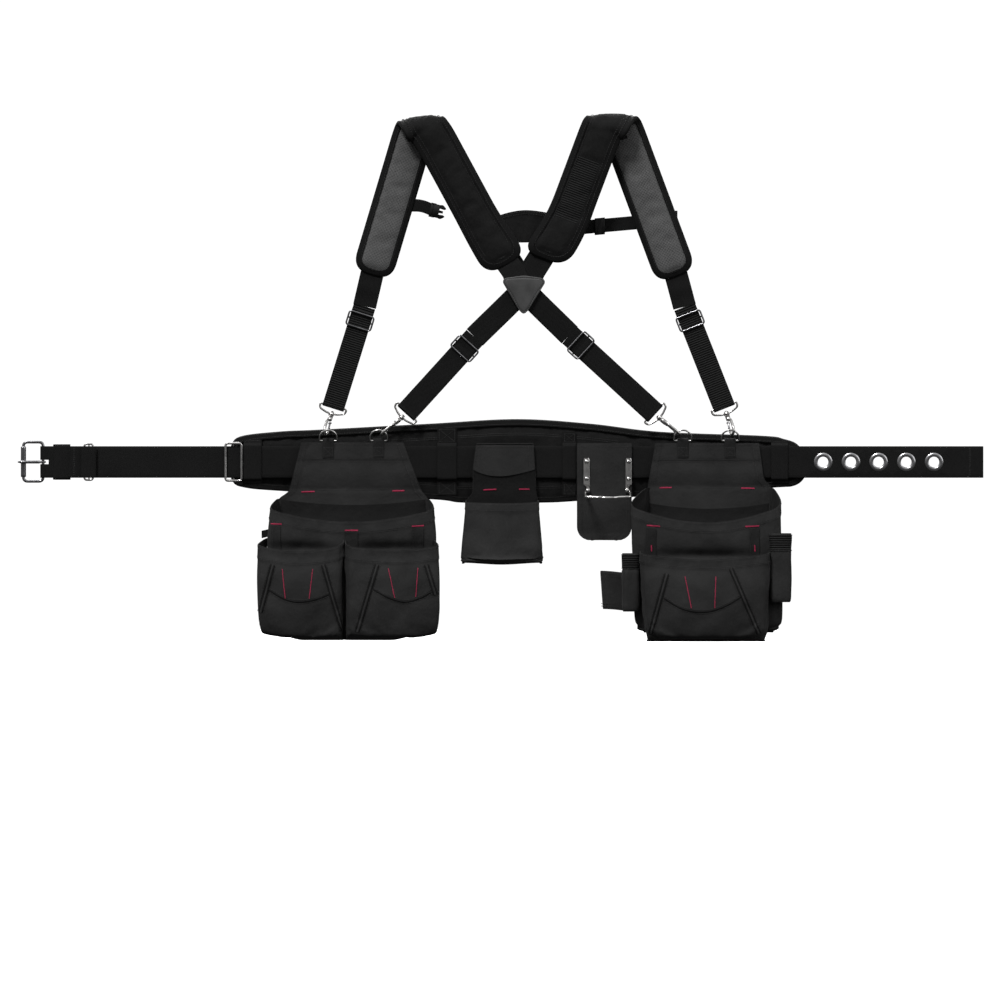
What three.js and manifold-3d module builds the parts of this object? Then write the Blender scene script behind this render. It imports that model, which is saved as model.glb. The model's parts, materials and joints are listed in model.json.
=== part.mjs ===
// Carpenter's tool belt, hung by its back: a padded waist belt, a buckled webbing strap with
// loops, two tool bags, a tape pouch, a hammer holder, and padded suspenders hooked to rings.
// Millimetres. +X runs to the right of someone facing the bags, +Y to the wearer, +Z is up.
// The origin is the middle of the padded belt's back face.
import * as THREE from "three";
import { mergeVertices } from "three/addons/utils/BufferGeometryUtils.js";
import Module from "manifold-3d";

// ---- Driving dimensions ----
const AIR = 0.4; // left between pieces that touch
const PAD_THICKNESS = 14;
const STRAP_WIDTH = 50.8;
const STRAP_BACK = -17;
const STRAP_FRONT = -20.3;
const STRAP_RIGHT = 753.6;
const EYELETS = { first: 496.3, pitch: 44.5, count: 5, hole: 8.5 };

const BUCKLE = { bar: -756, roller: -787.5, halfHeight: 31.5, wire: 2.4, middle: 0.5 };
const PRONG_SLOT = { halfHeight: 4, end: -746 };

const PANEL_FRONT = -24; // the cloth panels that hang in front of the strap
const PANEL_BACK = -21;
const SLEEVE_BACK = -14.6; // the sleeve behind a panel, which the strap runs through
const SLEEVE_CLOTH = 1.9;
const SLEEVE_HALF = 27;
const CLOTH = 2.5;
const SHELL_BACK = PANEL_FRONT - AIR;

const WEB = 38; // suspender webbing
const WEB_LOOPED = 36.4;
const WEB_THICKNESS = 2.2;
const WEB_DOUBLED = 4.4;
const PAD_DEPTH = 12;

const RING = { y: -22.5, z: 34, half: 14, rise: 4.8, wire: 1.5, tilt: 25, tab: 10.5 };
const TAB = { outer: 4.2, inner: 2.3 };
const HOOK = { reach: 36.1, wire: 2.2, half: 6.9, post: 1.6, bore: 2.2, collar: 4.4 };
const EYE = { bar: 13, half: 22.2, wire: 1.7 };
const GLIDE = { length: 26, half: 22, wire: 1.5 };

const deg = THREE.MathUtils.degToRad;
const V = (x, y, z) => new THREE.Vector3(x, y, z);
const Y_AXIS = V(0, 1, 0);

// ---- Materials ----
const material = (color, roughness, metalness = 0) =>
  new THREE.MeshStandardMaterial({ color, roughness, metalness });
const webbing = material(0x18181a, 0.85);
const canvas = material(0x262628, 0.8);
const padCloth = material(0x1d1d1f, 0.9);
const patchLeather = material(0x414145, 0.6);
const steel = material(0x9c9ca0, 0.3, 1);
const gunmetal = material(0x55555a, 0.35, 1);
const plastic = material(0x141416, 0.45);

// ---- Solids ----
const wasm = await Module();
wasm.setup();

function solid(geometry) {
  const bare = new THREE.BufferGeometry();
  bare.setAttribute("position", geometry.getAttribute("position"));
  bare.setIndex(geometry.index);
  const merged = mergeVertices(bare, 1e-3);
  return new wasm.Manifold(
    new wasm.Mesh({
      numProp: 3,
      vertProperties: new Float32Array(merged.attributes.position.array),
      triVerts: new Uint32Array(merged.index.array),
    }),
  );
}

const unite = (...geometries) => geometries.map(solid).reduce((sum, part) => sum.add(part));

const toolBelt = new THREE.Group();

function add(name, shape, look, pivot = {}) {
  let geometry = shape;
  if (!shape.isBufferGeometry) {
    const mesh = shape.getMesh();
    geometry = new THREE.BufferGeometry();
    geometry.setAttribute("position", new THREE.BufferAttribute(mesh.vertProperties, 3));
    geometry.setIndex(new THREE.BufferAttribute(mesh.triVerts, 1));
  }
  const piece = new THREE.Mesh(geometry, look);
  piece.name = name;
  piece.userData = pivot;
  toolBelt.add(piece);
}

// ---- Shapes ----
const flat = (points) => points.map(([a, b]) => new THREE.Vector2(a, b));

function extruded(outline, depth, holes) {
  const shape = new THREE.Shape(flat(outline));
  shape.holes = holes.map((hole) => new THREE.Path(flat(hole)));
  return new THREE.ExtrudeGeometry(shape, { depth, bevelEnabled: false });
}

// A plate with its outline in X and Z, from yFront to yBack.
function slab(outline, yFront, yBack, holes = []) {
  const plate = extruded(outline, yBack - yFront, holes);
  return plate.rotateX(Math.PI / 2).translate(0, yBack, 0);
}

// A bar with its profile in Y and Z, from xMin to xMax.
function bar(profile, xMin, xMax, holes = []) {
  const turned = new THREE.Matrix4().makeBasis(V(0, 1, 0), V(0, 0, 1), V(1, 0, 0));
  return extruded(profile, xMax - xMin, holes).applyMatrix4(turned).translate(xMin, 0, 0);
}

// An upright post with its profile in X and Y, from zMin to zMax.
function post(profile, zMin, zMax, holes = []) {
  return extruded(profile, zMax - zMin, holes).translate(0, 0, zMin);
}

const rectangle = (a0, a1, b0, b1) => [[a0, b0], [a1, b0], [a1, b1], [a0, b1]];

function circle(a, b, radius, sides) {
  return Array.from({ length: sides }, (_, i) => {
    const angle = ((i + 0.5) * 2 * Math.PI) / sides;
    return [a + radius * Math.cos(angle), b + radius * Math.sin(angle)];
  });
}

// Softens the corners of a list of 2-D or 3-D points.
function rounded(corners, radius, closed = true, steps = 3) {
  const last = corners.length - 1;
  return corners.flatMap((corner, i) => {
    if (!closed && (i === 0 || i === last)) return [corner];
    const reach = (other) => {
      const share = Math.min(0.45, radius / corner.distanceTo(other));
      return corner.clone().lerp(other, share);
    };
    const Curve = corner.isVector3 ? THREE.QuadraticBezierCurve3 : THREE.QuadraticBezierCurve;
    const before = reach(corners.at(i - 1));
    const after = reach(corners[(i + 1) % corners.length]);
    return new Curve(before, corner, after).getPoints(steps);
  });
}

const softened = (outline, radius, steps) =>
  rounded(flat(outline), radius, true, steps).map((p) => [p.x, p.y]);

// Joins rings of points, each with the same number of points, into one closed skin.
function loft(rings, closed = false) {
  const count = rings[0].length;
  const points = rings.flat();
  const faces = [];
  const spans = closed ? rings.length : rings.length - 1;
  for (let r = 0; r < spans; r++) {
    const next = ((r + 1) % rings.length) * count;
    for (let i = 0; i < count; i++) {
      const j = (i + 1) % count;
      faces.push(r * count + i, r * count + j, next + j);
      faces.push(r * count + i, next + j, next + i);
    }
  }
  const top = (rings.length - 1) * count;
  for (let i = 1; i < count - 1 && !closed; i++) {
    faces.push(0, i + 1, i);
    faces.push(top, top + i, top + i + 1);
  }
  let volume = 0;
  for (let i = 0; i < faces.length; i += 3) {
    const [a, b, c] = [points[faces[i]], points[faces[i + 1]], points[faces[i + 2]]];
    volume += a.dot(b.clone().cross(c));
  }
  if (volume < 0) faces.reverse();
  return new THREE.BufferGeometry().setFromPoints(points).setIndex(faces);
}

// A flat section swept through stations, each with a place, two directions and two sizes.
function band(stations, section) {
  return loft(
    stations.map(({ at, across, out, width, thickness }) =>
      section.map(([a, b]) =>
        at
          .clone()
          .addScaledVector(across, (a * width) / 2)
          .addScaledVector(out, (b * thickness) / 2),
      ),
    ),
  );
}

const FLAT_SECTION = [[-1, -1], [1, -1], [1, 1], [-1, 1]];
const PAD_SECTION = [
  [-1, -0.4], [-0.93, -1], [0.93, -1], [1, -0.4],
  [1, 0.4], [0.93, 1], [-0.93, 1], [-1, 0.4],
];

// The directions of a band's stations, its outer face towards -Y.
function facing(points) {
  return points.map(({ at, width, thickness }, i) => {
    const before = points[Math.max(i - 1, 0)].at;
    const after = points[Math.min(i + 1, points.length - 1)].at;
    const along = after.clone().sub(before).normalize();
    const across = along.clone().cross(Y_AXIS).normalize();
    return { at, across, out: along.clone().cross(across), width, thickness };
  });
}

// Round wire through points. No stretch of it runs along `up`.
function wire(points, radius, up, closed = false, sides = 6) {
  const last = points.length - 1;
  const rings = points.map((point, i) => {
    const before = closed ? points.at(i - 1) : points[Math.max(i - 1, 0)];
    const after = closed ? points[(i + 1) % points.length] : points[Math.min(i + 1, last)];
    const along = after.clone().sub(before).normalize();
    const across = along.clone().cross(up).normalize();
    const out = across.clone().cross(along);
    return circle(0, 0, radius, sides).map(([a, b]) =>
      point.clone().addScaledVector(across, a).addScaledVector(out, b),
    );
  });
  return loft(rings, closed);
}

// A cylinder from one point to another.
function rod(from, to, radius, sides = 8) {
  const along = to.clone().sub(from);
  const up = Math.abs(along.y) > 0.9 * along.length() ? V(0, 0, 1) : Y_AXIS;
  return wire([from, to], radius, up, false, sides);
}

// ---- Padded belt, strap and loops ----
function paddedBelt() {
  const outline = [
    [-458, -6], [-452, -35], [-434, -40], [-370, -46], [-134, -59], [-80, -65], [42, -65],
    [100, -62], [240, -52], [415, -40.5], [450, -38], [471, -22], [457, 27], [433, 36.6],
    [398, 41.6], [234, 48], [122, 61], [4, 68.6], [-134, 61], [-310, 51.5], [-375, 48.5],
    [-438, 42], [-453, 31.5],
  ];
  add("padded_belt", slab(softened(outline, 9, 2), -PAD_THICKNESS, 0), padCloth);
}

function beltStrap() {
  const half = STRAP_WIDTH / 2;
  const holes = Array.from({ length: EYELETS.count }, (_, i) =>
    circle(EYELETS.first + i * EYELETS.pitch, 0, EYELETS.hole, 12),
  );
  const outline = rectangle(BUCKLE.bar + 3.4, STRAP_RIGHT, -half, half);
  const y = (STRAP_FRONT + STRAP_BACK) / 2;
  const end = (radius, zMin, zMax) => post(circle(BUCKLE.bar, y, radius, 12), zMin, zMax);
  const { halfHeight } = PRONG_SLOT;
  const slotX = [BUCKLE.bar - 10, PRONG_SLOT.end];
  const slot = slab(rectangle(...slotX, -halfHeight, halfHeight), y - 8, y + 8);
  const strap = unite(slab(outline, STRAP_FRONT, STRAP_BACK, holes), end(4.4, -half, half))
    .subtract(solid(end(2.9, -half - 1, half + 1)))
    .subtract(solid(slot));
  add("belt_strap", strap, webbing);
}

// A webbing loop sewn to the padded belt above and below the strap, which passes behind it.
function beltLoops() {
  const foot = -PAD_THICKNESS - AIR;
  const cloth = 2;
  const inner = STRAP_FRONT - AIR;
  const span = 27;
  const loops = [
    { left: -434, right: -405, bottom: -34, top: 36 },
    { left: -123, right: -92, bottom: -53, top: 55 },
    { left: 78, right: 100, bottom: -54, top: 48 },
    { left: 413, right: 440, bottom: -34, top: 34 },
  ];
  loops.forEach(({ left, right, bottom, top }, i) => {
    const profile = [
      [foot, top], [foot, span], [inner, span], [inner, -span], [foot, -span], [foot, bottom],
      [foot - cloth, bottom], [foot - cloth, -span - cloth], [inner - cloth, -span - cloth],
      [inner - cloth, span + cloth], [foot - cloth, span + cloth], [foot - cloth, top],
    ];
    add(`belt_loop_${i + 1}`, bar(profile, left, right), webbing);
  });
}

// ---- Buckle, keeper and sliders on the strap ----
function buckle() {
  const y = (STRAP_FRONT + STRAP_BACK) / 2;
  const { bar: right, roller: left, halfHeight, wire: radius, middle } = BUCKLE;
  const top = middle + halfHeight;
  const bottom = middle - halfHeight;
  const corners = [V(right, y, bottom), V(right, y, top), V(left, y, top), V(left, y, bottom)];
  add("buckle_frame", wire(rounded(corners, 6), radius, Y_AXIS, true, 8), gunmetal, {
    pivot: V(right, y, 0),
    axis: V(0, 0, 1),
  });

  const bore = circle(left, y, radius + 0.5, 12);
  const roller = post(circle(left, y, 4.4, 12), middle - 24.5, middle + 24.5, [bore]);
  add("buckle_roller", roller, gunmetal, { pivot: V(left, y, 0), axis: V(0, 0, 1) });

  const hub = post(circle(right, y, 4.7, 10), -3, 3);
  const front = y - 4.4 - 2.6;
  const shank = [V(right - 2, y - 3.2, 0), V(right - 10, front + 0.6, 0), V(left, front, 0)];
  const tip = V(left - 8, front + 1.2, 0);
  const prong = unite(hub, wire([...shank, tip], 2.1, V(0, 0, 1), false, 8)).subtract(
    solid(post(circle(right, y, 2.95, 10), -8, 8)),
  );
  add("buckle_prong", prong, gunmetal, { pivot: V(right, y, 0), axis: V(0, 0, 1) });
}

function keeper() {
  const half = STRAP_WIDTH / 2;
  const inner = rectangle(STRAP_FRONT - 0.5, STRAP_BACK + 0.5, -half - 0.7, half + 0.7);
  const outer = rectangle(STRAP_FRONT - 2.6, STRAP_BACK + 2.5, -half - 3.4, half + 3.4);
  add("belt_keeper", bar(outer, -740, -712, [inner]), webbing);
}

// A wire slider on webbing: a frame in front of it, and a middle bar behind it, bent round its
// edges. `place` maps (along, across, out) to the part's frame.
function slider({ length, half, wire: radius }, webThickness, place, rear = radius) {
  const front = webThickness / 2 + AIR + radius;
  const back = -webThickness / 2 - AIR - rear;
  const put = ([u, v, w]) => V(u, v, w).applyMatrix4(place);
  const up = V(0, 0, 1).transformDirection(place);
  const long = length / 2 - radius;
  const wide = half - radius;
  const corners = [[-long, -wide], [long, -wide], [long, wide], [-long, wide]];
  const frame = rounded(corners.map(([u, v]) => put([u, v, front])), 3.5);
  const rise = [[0, -wide, front], [0, -wide, back], [0, wide, back], [0, wide, front]];
  const along = V(1, 0, 0).transformDirection(place);
  return unite(
    wire(frame, radius, up, true),
    wire(rounded(rise.map(put), 1.6, false, 1), rear, along),
  );
}

function beltSliders() {
  const y = (STRAP_FRONT + STRAP_BACK) / 2;
  const thickness = STRAP_BACK - STRAP_FRONT;
  const at = (x) =>
    new THREE.Matrix4().makeBasis(V(1, 0, 0), V(0, 0, 1), V(0, -1, 0)).setPosition(x, y, 0);
  const slide = { length: 17, half: 30.5, wire: 1.6 };
  const adjuster = { length: 29.5, half: 32, wire: 2 };
  add("belt_slide", slider(slide, thickness, at(-682.5), 1.1), gunmetal);
  add("belt_adjuster", slider(adjuster, thickness, at(-450.2), 1.1), gunmetal);
}

// ---- Bags ----
// One level of a bag: its back edge, its wider front edge and how far it stands out. The mouth's
// front is lower than its back by `dip`, and lower again by `sag` in the middle.
function ringOf({ back, front, depth, bulge = 0, z, dip = 0, sag = 0 }, yBack, inset = 0, open = 0) {
  const yFront = yBack - depth + inset;
  const corner = 12;
  const [left, right] = [front[0] + inset, front[1] - inset];
  const backLeft = new THREE.Vector2(back[0] + inset, yBack + open);
  const backRight = new THREE.Vector2(back[1] - inset, yBack + open);
  const soften = (from, at, to) => {
    const near = (other) => at.clone().lerp(other, corner / at.distanceTo(other));
    return new THREE.QuadraticBezierCurve(near(from), at, near(to)).getPoints(2);
  };
  const middle = new THREE.Vector2((left + right) / 2, yFront - bulge);
  const frontRight = new THREE.Vector2(right, yFront);
  const frontLeft = new THREE.Vector2(left, yFront);
  const points = [
    backLeft, backRight,
    ...soften(backRight, frontRight, middle), middle, ...soften(middle, frontLeft, backLeft),
  ];
  return points.map((p) => {
    const forward = THREE.MathUtils.clamp((yBack - p.y) / depth, 0, 1);
    const drop = dip * forward + (p === middle ? sag : 0);
    return V(p.x, p.y, z - drop);
  });
}

// A sewn pocket, open at the top and at the back, where the panel or bag behind it closes it.
function pocket(levels, yBack) {
  const outer = solid(loft(levels.map((level) => ringOf(level, yBack))));
  const lowest = levels.at(-1).z;
  const inner = levels.map((level, i) => {
    const z = i === 0 ? level.z + 6 : Math.max(level.z, lowest + CLOTH);
    return ringOf({ ...level, z, dip: 0, sag: 0 }, yBack, CLOTH, 8);
  });
  const rim = ringOf(levels[0], yBack, CLOTH, 8);
  return outer.subtract(solid(loft([inner[0], rim, ...inner.slice(1)])));
}

// The outer shape of a bag, grown by the air gap, to cut what is sewn onto it.
function grown(levels, yBack) {
  const wider = levels.map((level, i) => ({
    ...level,
    z: level.z + (i === 0 ? 30 : 0) - (i === levels.length - 1 ? AIR : 0),
    dip: 0,
    sag: 0,
  }));
  return solid(loft(wider.map((level) => ringOf(level, yBack, -AIR, 4))));
}

function hangingPanel(outline, left, right) {
  const top = SLEEVE_HALF + 3.5;
  const inner = rectangle(PANEL_BACK, SLEEVE_BACK - SLEEVE_CLOTH, -SLEEVE_HALF, SLEEVE_HALF);
  const outer = rectangle(PANEL_FRONT + 1, SLEEVE_BACK, -top, top);
  return unite(slab(outline, PANEL_FRONT, PANEL_BACK), bar(outer, left, right, [inner]));
}

const tabRod = (x, radius, half, sides) =>
  rod(V(x - half, RING.y, RING.z), V(x + half, RING.y, RING.z), radius, sides);

// A bag's back panel, with its two webbing tabs for the suspender rings.
function bagBack(name, outline, left, right, rings) {
  let panel = hangingPanel(outline, left, right);
  for (const x of rings) panel = panel.add(solid(tabRod(x, TAB.outer, RING.tab, 12)));
  for (const x of rings) panel = panel.subtract(solid(tabRod(x, TAB.inner, RING.tab + 5, 12)));
  add(name, panel, canvas);
}

function leftBag(rings) {
  const outline = [
    [-341, 32], [-361, -47.5], [-379, -59], [-382, -250], [-368, -276], [-146, -276],
    [-134, -250], [-137, -59], [-148, -47.5], [-178, 32],
  ];
  bagBack("left_bag_back", outline, -341, -178, rings);
  const main = [
    { z: -59, back: [-378, -138], front: [-393, -125], depth: 62, bulge: 8, dip: 16, sag: 17 },
    { z: -130, back: [-380, -135], front: [-402, -117], depth: 66, bulge: 8 },
    { z: -250, back: [-379, -136], front: [-398, -122], depth: 60, bulge: 6 },
    { z: -277, back: [-367, -147], front: [-384, -136], depth: 48, bulge: 2 },
  ];
  add("left_bag_main", pocket(main, SHELL_BACK), canvas);
  const front = -62;
  const behind = grown(main, SHELL_BACK);
  const leftPocket = [
    { z: -125, back: [-411, -272], front: [-410, -271.5], depth: 54, bulge: 6, dip: 3, sag: 12 },
    { z: -190, back: [-412, -272], front: [-413, -271.5], depth: 62, bulge: 8 },
    { z: -262, back: [-408, -272], front: [-409, -271.5], depth: 56, bulge: 6 },
    { z: -283, back: [-388, -275], front: [-394, -272], depth: 40, bulge: 2 },
  ];
  const rightPocket = [
    { z: -125, back: [-269, -117], front: [-269.5, -118], depth: 54, bulge: 6, dip: 4, sag: 9 },
    { z: -190, back: [-269, -115], front: [-269.5, -114], depth: 62, bulge: 8 },
    { z: -262, back: [-269, -117], front: [-269.5, -116], depth: 56, bulge: 6 },
    { z: -283, back: [-267, -136], front: [-269, -130], depth: 40, bulge: 2 },
  ];
  add("left_bag_pocket_left", pocket(leftPocket, front).subtract(behind), canvas);
  add("left_bag_pocket_right", pocket(rightPocket, front).subtract(behind), canvas);
}

function rightBag(rings) {
  const outline = [
    [227, 31], [215, -38], [216, -60], [208, -240], [214, -272], [402, -272], [408, -240],
    [412, -60], [413, -44], [403, -38], [393, 31],
  ];
  bagBack("right_bag_back", outline, 227, 393, rings);
  const main = [
    { z: -41, back: [217, 413], front: [183, 430], depth: 62, bulge: 8, dip: 31, sag: 21 },
    { z: -130, back: [212, 411], front: [184, 433], depth: 66, bulge: 8 },
    { z: -240, back: [208, 409], front: [187, 434], depth: 60, bulge: 6 },
    { z: -274, back: [216, 402], front: [200, 424], depth: 48, bulge: 2 },
  ];
  add("right_bag_main", pocket(main, SHELL_BACK), canvas);
  const front = -62;
  const behind = grown(main, SHELL_BACK);
  const frontPocket = [
    { z: -143, back: [201, 407], front: [201, 407], depth: 56, bulge: 8, dip: 2, sag: 8 },
    { z: -200, back: [203, 407], front: [203, 407], depth: 64, bulge: 9 },
    { z: -262, back: [209, 404], front: [209, 404], depth: 60, bulge: 7 },
    { z: -285, back: [213, 400], front: [213, 400], depth: 42, bulge: 2 },
  ];
  add("right_bag_pocket", pocket(frontPocket, front).subtract(behind), canvas);

  const sleeve = (outer, z) => {
    const [x0, x1, y0, y1] = outer;
    const inner = rectangle(x0 + CLOTH, x1 - CLOTH, y0 + CLOTH, y1 - CLOTH);
    const body = solid(post(softened(rectangle(...outer), 6, 2), ...z));
    return body.subtract(solid(post(inner, z[0] + CLOTH, z[1] + 5))).subtract(behind);
  };
  add("right_bag_sleeve_left", sleeve([173, 200.4, -103, -58], [-239, -146]), canvas);
  add("right_bag_sleeve_right", sleeve([407.8, 444, -103, -58], [-224, -114]), canvas);

  const hoop = softened(rectangle(140, 226, -56.5, -30), 9, 2);
  const hole = softened(rectangle(142.4, 240, -54.1, -32.4), 7, 2);
  const loop = solid(post(hoop, -238, -176)).subtract(solid(post(hole, -240, -174)));
  add("right_bag_side_loop", loop.subtract(behind), webbing);
}

// ---- Tape pouch and hammer holder ----
function tapePouch() {
  const outline = [
    [-61, 28], [-66, -9], [-66, -50], [-77, -61], [-84, -136], [-77, -162], [39, -162],
    [46, -140], [39, -61], [36, -50], [34, -9], [32, 28],
  ];
  add("tape_pouch_back", hangingPanel(outline, -61, 32), canvas);
  const box = [
    { z: -61, back: [-76, 38], front: [-78, 40], depth: 42, bulge: 3, dip: 1, sag: 2 },
    { z: -138, back: [-84, 45], front: [-87.5, 48.8], depth: 50, bulge: 4 },
    { z: -164, back: [-76, 38], front: [-79, 41], depth: 40, bulge: 2 },
  ];
  add("tape_pouch_body", pocket(box, SHELL_BACK), canvas);
}

function hammerHolder() {
  const lower = softened([[101, 29], [101, -126], [189, -126], [189, 29]], 22, 4);
  const outline = [[101, 30], ...lower.filter(([, z]) => z < 0), [189, 30]];
  add("hammer_panel", hangingPanel(outline, 101, 189), canvas);

  const pivot = V(0, PANEL_FRONT - AIR - 4.4, -46);
  const brackets = [
    { name: "hammer_bracket_left", left: 111.5, right: 121.6, barrel: [116.4, 121.6] },
    { name: "hammer_bracket_right", left: 179, right: 189, barrel: [179, 183.8] },
  ];
  for (const { name, left, right, barrel } of brackets) {
    const ends = barrel.map((x) => V(x, pivot.y, pivot.z));
    const beyond = [V(left - 5, pivot.y, pivot.z), V(right + 5, pivot.y, pivot.z)];
    const face = PANEL_FRONT - AIR;
    const plate = slab(softened(rectangle(left, right, -41, 7), 3, 2), face - 2, face);
    const neck = slab(rectangle(...barrel, -47, -40), face - 2, face);
    const body = unite(plate, neck, rod(...ends, 4.4, 12));
    add(name, body.subtract(solid(rod(...beyond, 2.9, 12))), steel);
  }

  const radius = 2.3;
  const reach = 58;
  const droop = deg(10);
  const at = (x, out) =>
    V(x, pivot.y - out * Math.cos(droop), pivot.z - out * Math.sin(droop));
  const [left, right] = [113.6, 186.6];
  const middle = (left + right) / 2;
  const bow = [
    at(120.8, 0), at(left, 0), at(left, reach), at(middle - 14, reach + 4),
    at(middle - 8, reach + 9), at(middle + 8, reach + 9), at(middle + 14, reach + 4),
    at(right, reach), at(right, 0), at(179.8, 0),
  ];
  const up = V(0, -Math.sin(droop), Math.cos(droop));
  const path = rounded(bow, 3.4, false);
  add("hammer_loop", wire(path, radius, up, false, 8), steel, { pivot, axis: V(1, 0, 0) });
}

// ---- Rings and snap hooks ----
const tilt = deg(RING.tilt);

function ringPoint(x, across, rise) {
  return V(x + across, RING.y - rise * Math.sin(tilt), RING.z + rise * Math.cos(tilt));
}

function dRing(name, x) {
  const { half, rise, wire: radius } = RING;
  const arch = Array.from({ length: 11 }, (_, i) => {
    const angle = (i * Math.PI) / 10;
    return ringPoint(x, half * Math.cos(angle), rise + half * Math.sin(angle));
  });
  const foot = rounded([arch.at(-1), ringPoint(x, -half, 0), ringPoint(x, half, 0), arch[0]], 2.6, false);
  const path = [...arch, ...foot.slice(1, -1)];
  const up = V(0, Math.cos(tilt), Math.sin(tilt));
  add(name, wire(path, radius, up, true), steel, {
    pivot: V(x, RING.y, RING.z),
    axis: V(1, 0, 0),
  });
}

// Each suspender end: its ring, where on the ring's arch it hooks, the hook's slope and its lean
// to the wearer, the eye's slope, the side of the hook that its gate is on, and how far the hook
// is swivelled from lying flat against the ring.
const ENDS = {
  front_left: { ring: -298, turn: -14, slope: 17, lean: 40, eye: 15, side: 1, swivel: 62 },
  back_left: { ring: -217, turn: 40, slope: 50, lean: 0, eye: 44, side: 1, swivel: 82 },
  back_right: { ring: 271, turn: -42, slope: -51, lean: 0, eye: -46, side: -1, swivel: 82 },
  front_right: { ring: 347, turn: 12, slope: -17, lean: 40, eye: -20, side: -1, swivel: 62 },
};

for (const end of Object.values(ENDS)) {
  const turn = deg(end.turn);
  const { half, rise } = RING;
  end.contact = ringPoint(end.ring, half * Math.sin(turn), rise + half * Math.cos(turn));
  const [slope, lean] = [deg(end.slope), deg(end.lean)];
  const level = Math.cos(lean);
  end.axis = V(Math.sin(slope) * level, Math.sin(lean), Math.cos(slope) * level);
  end.joint = end.contact.clone().addScaledVector(end.axis, HOOK.reach);
  const eye = deg(end.eye);
  end.up = V(Math.sin(eye), 0, Math.cos(eye));
  end.across = V(Math.cos(eye), 0, -Math.sin(eye));
  end.bar = end.joint.clone().addScaledVector(end.up, EYE.bar);
}

function snapHook(name, { joint, axis, up, across, side, swivel, bar: eyeBar }) {
  const on = (height) => joint.clone().addScaledVector(axis, height);

  // The eye: a wire triangle that holds the webbing, and the collar that the hook turns in.
  const inEye = ([v, u]) => joint.clone().addScaledVector(across, v).addScaledVector(up, u);
  const { bar: height, half, wire: thin } = EYE;
  const shoulder = [[half, height], [half - 1.7, 5.2], [9, 1.2], [3.4, 0.6]];
  const mirrored = shoulder.map(([v, u]) => [-v, u]).reverse();
  const corners = [...mirrored, ...shoulder].map(inEye);
  const triangle = wire(rounded(corners, 2.4, false, 2), thin, Y_AXIS);
  const collar = rod(on(-2.8), on(2.8), HOOK.collar);
  const eye = unite(triangle, collar).subtract(solid(rod(on(-9), on(9), HOOK.bore)));
  add(`hook_eye_${name}`, eye, steel, { pivot: eyeBar, axis: across });

  // The hook: its post and head in the collar, its barrel, and the bent hook below it.
  const sideways = Y_AXIS.clone().cross(axis).normalize();
  const rearward = axis.clone().cross(sideways);
  const turn = deg(swivel);
  const gateSide = sideways
    .multiplyScalar(side * Math.cos(turn))
    .addScaledVector(rearward, Math.sin(turn));
  const normal = axis.clone().cross(gateSide).normalize();
  const at = ([h, s]) => on(h).addScaledVector(gateSide, s);
  const { half: leg, wire: radius, post: pin } = HOOK;
  const bend = [
    [-11, 0], [-14, -1.5], [-19, -leg], [-34, -leg], [-38.4, -leg + 1.2], [-41.6, -3.6],
    [-42.8, 0], [-41.6, 3.6], [-38.4, leg - 1.2], [-34, leg], [-31, leg],
  ];
  const hook = unite(
    rod(on(-12), on(4.6), pin),
    rod(on(3.4), on(5.2), 2.9),
    rod(on(-14), on(-3.3), 3.9),
    wire(bend.map(at), radius, normal, false, 8),
  );
  add(`snap_hook_${name}`, hook, steel, { pivot: joint, axis });
  const hinge = at([-15.8, 4.6]);
  const gate = wire([hinge, at([-22, 6]), at([-30.3, leg])], 1.5, normal);
  add(`hook_gate_${name}`, gate, gunmetal, { pivot: hinge, axis: normal });
}

// ---- Suspenders ----
// The webbing runs from a pad to its tri-glide, and doubled from there round the eye's bar.
function suspenderStrap(name, { bar: eyeBar, across }, route, glide) {
  const toGlide = glide.clone().sub(eyeBar);
  const towards = toGlide.clone().normalize();
  const start = eyeBar.clone().addScaledVector(towards, 3.1);
  const doubled = { width: WEB_LOOPED, thickness: WEB_DOUBLED };
  const single = { width: WEB, thickness: WEB_THICKNESS };
  const past = (distance) => eyeBar.clone().addScaledVector(towards, toGlide.length() + distance);
  const stations = facing([
    { at: start, ...doubled },
    { at: past(-30), ...doubled },
    { at: past(24), ...doubled },
    { at: past(25), ...single },
    ...route.map((at) => ({ at, ...single })),
  ]);
  const side = WEB_LOOPED / 2;
  const ends = (reach) =>
    [-reach, reach].map((v) => eyeBar.clone().addScaledVector(across, v));
  const strap = unite(band(stations, FLAT_SECTION), rod(...ends(side), 4.2, 10));
  add(name, strap.subtract(solid(rod(...ends(side + 4), 2.5, 10))), webbing);

  const face = stations[1];
  const place = new THREE.Matrix4();
  place.makeBasis(towards, face.across, face.out).setPosition(glide);
  return place;
}

function triGlide(name, place) {
  const travel = V(1, 0, 0).transformDirection(place);
  add(name, slider(GLIDE, WEB_DOUBLED, place), steel, { axis: travel });
}

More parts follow.
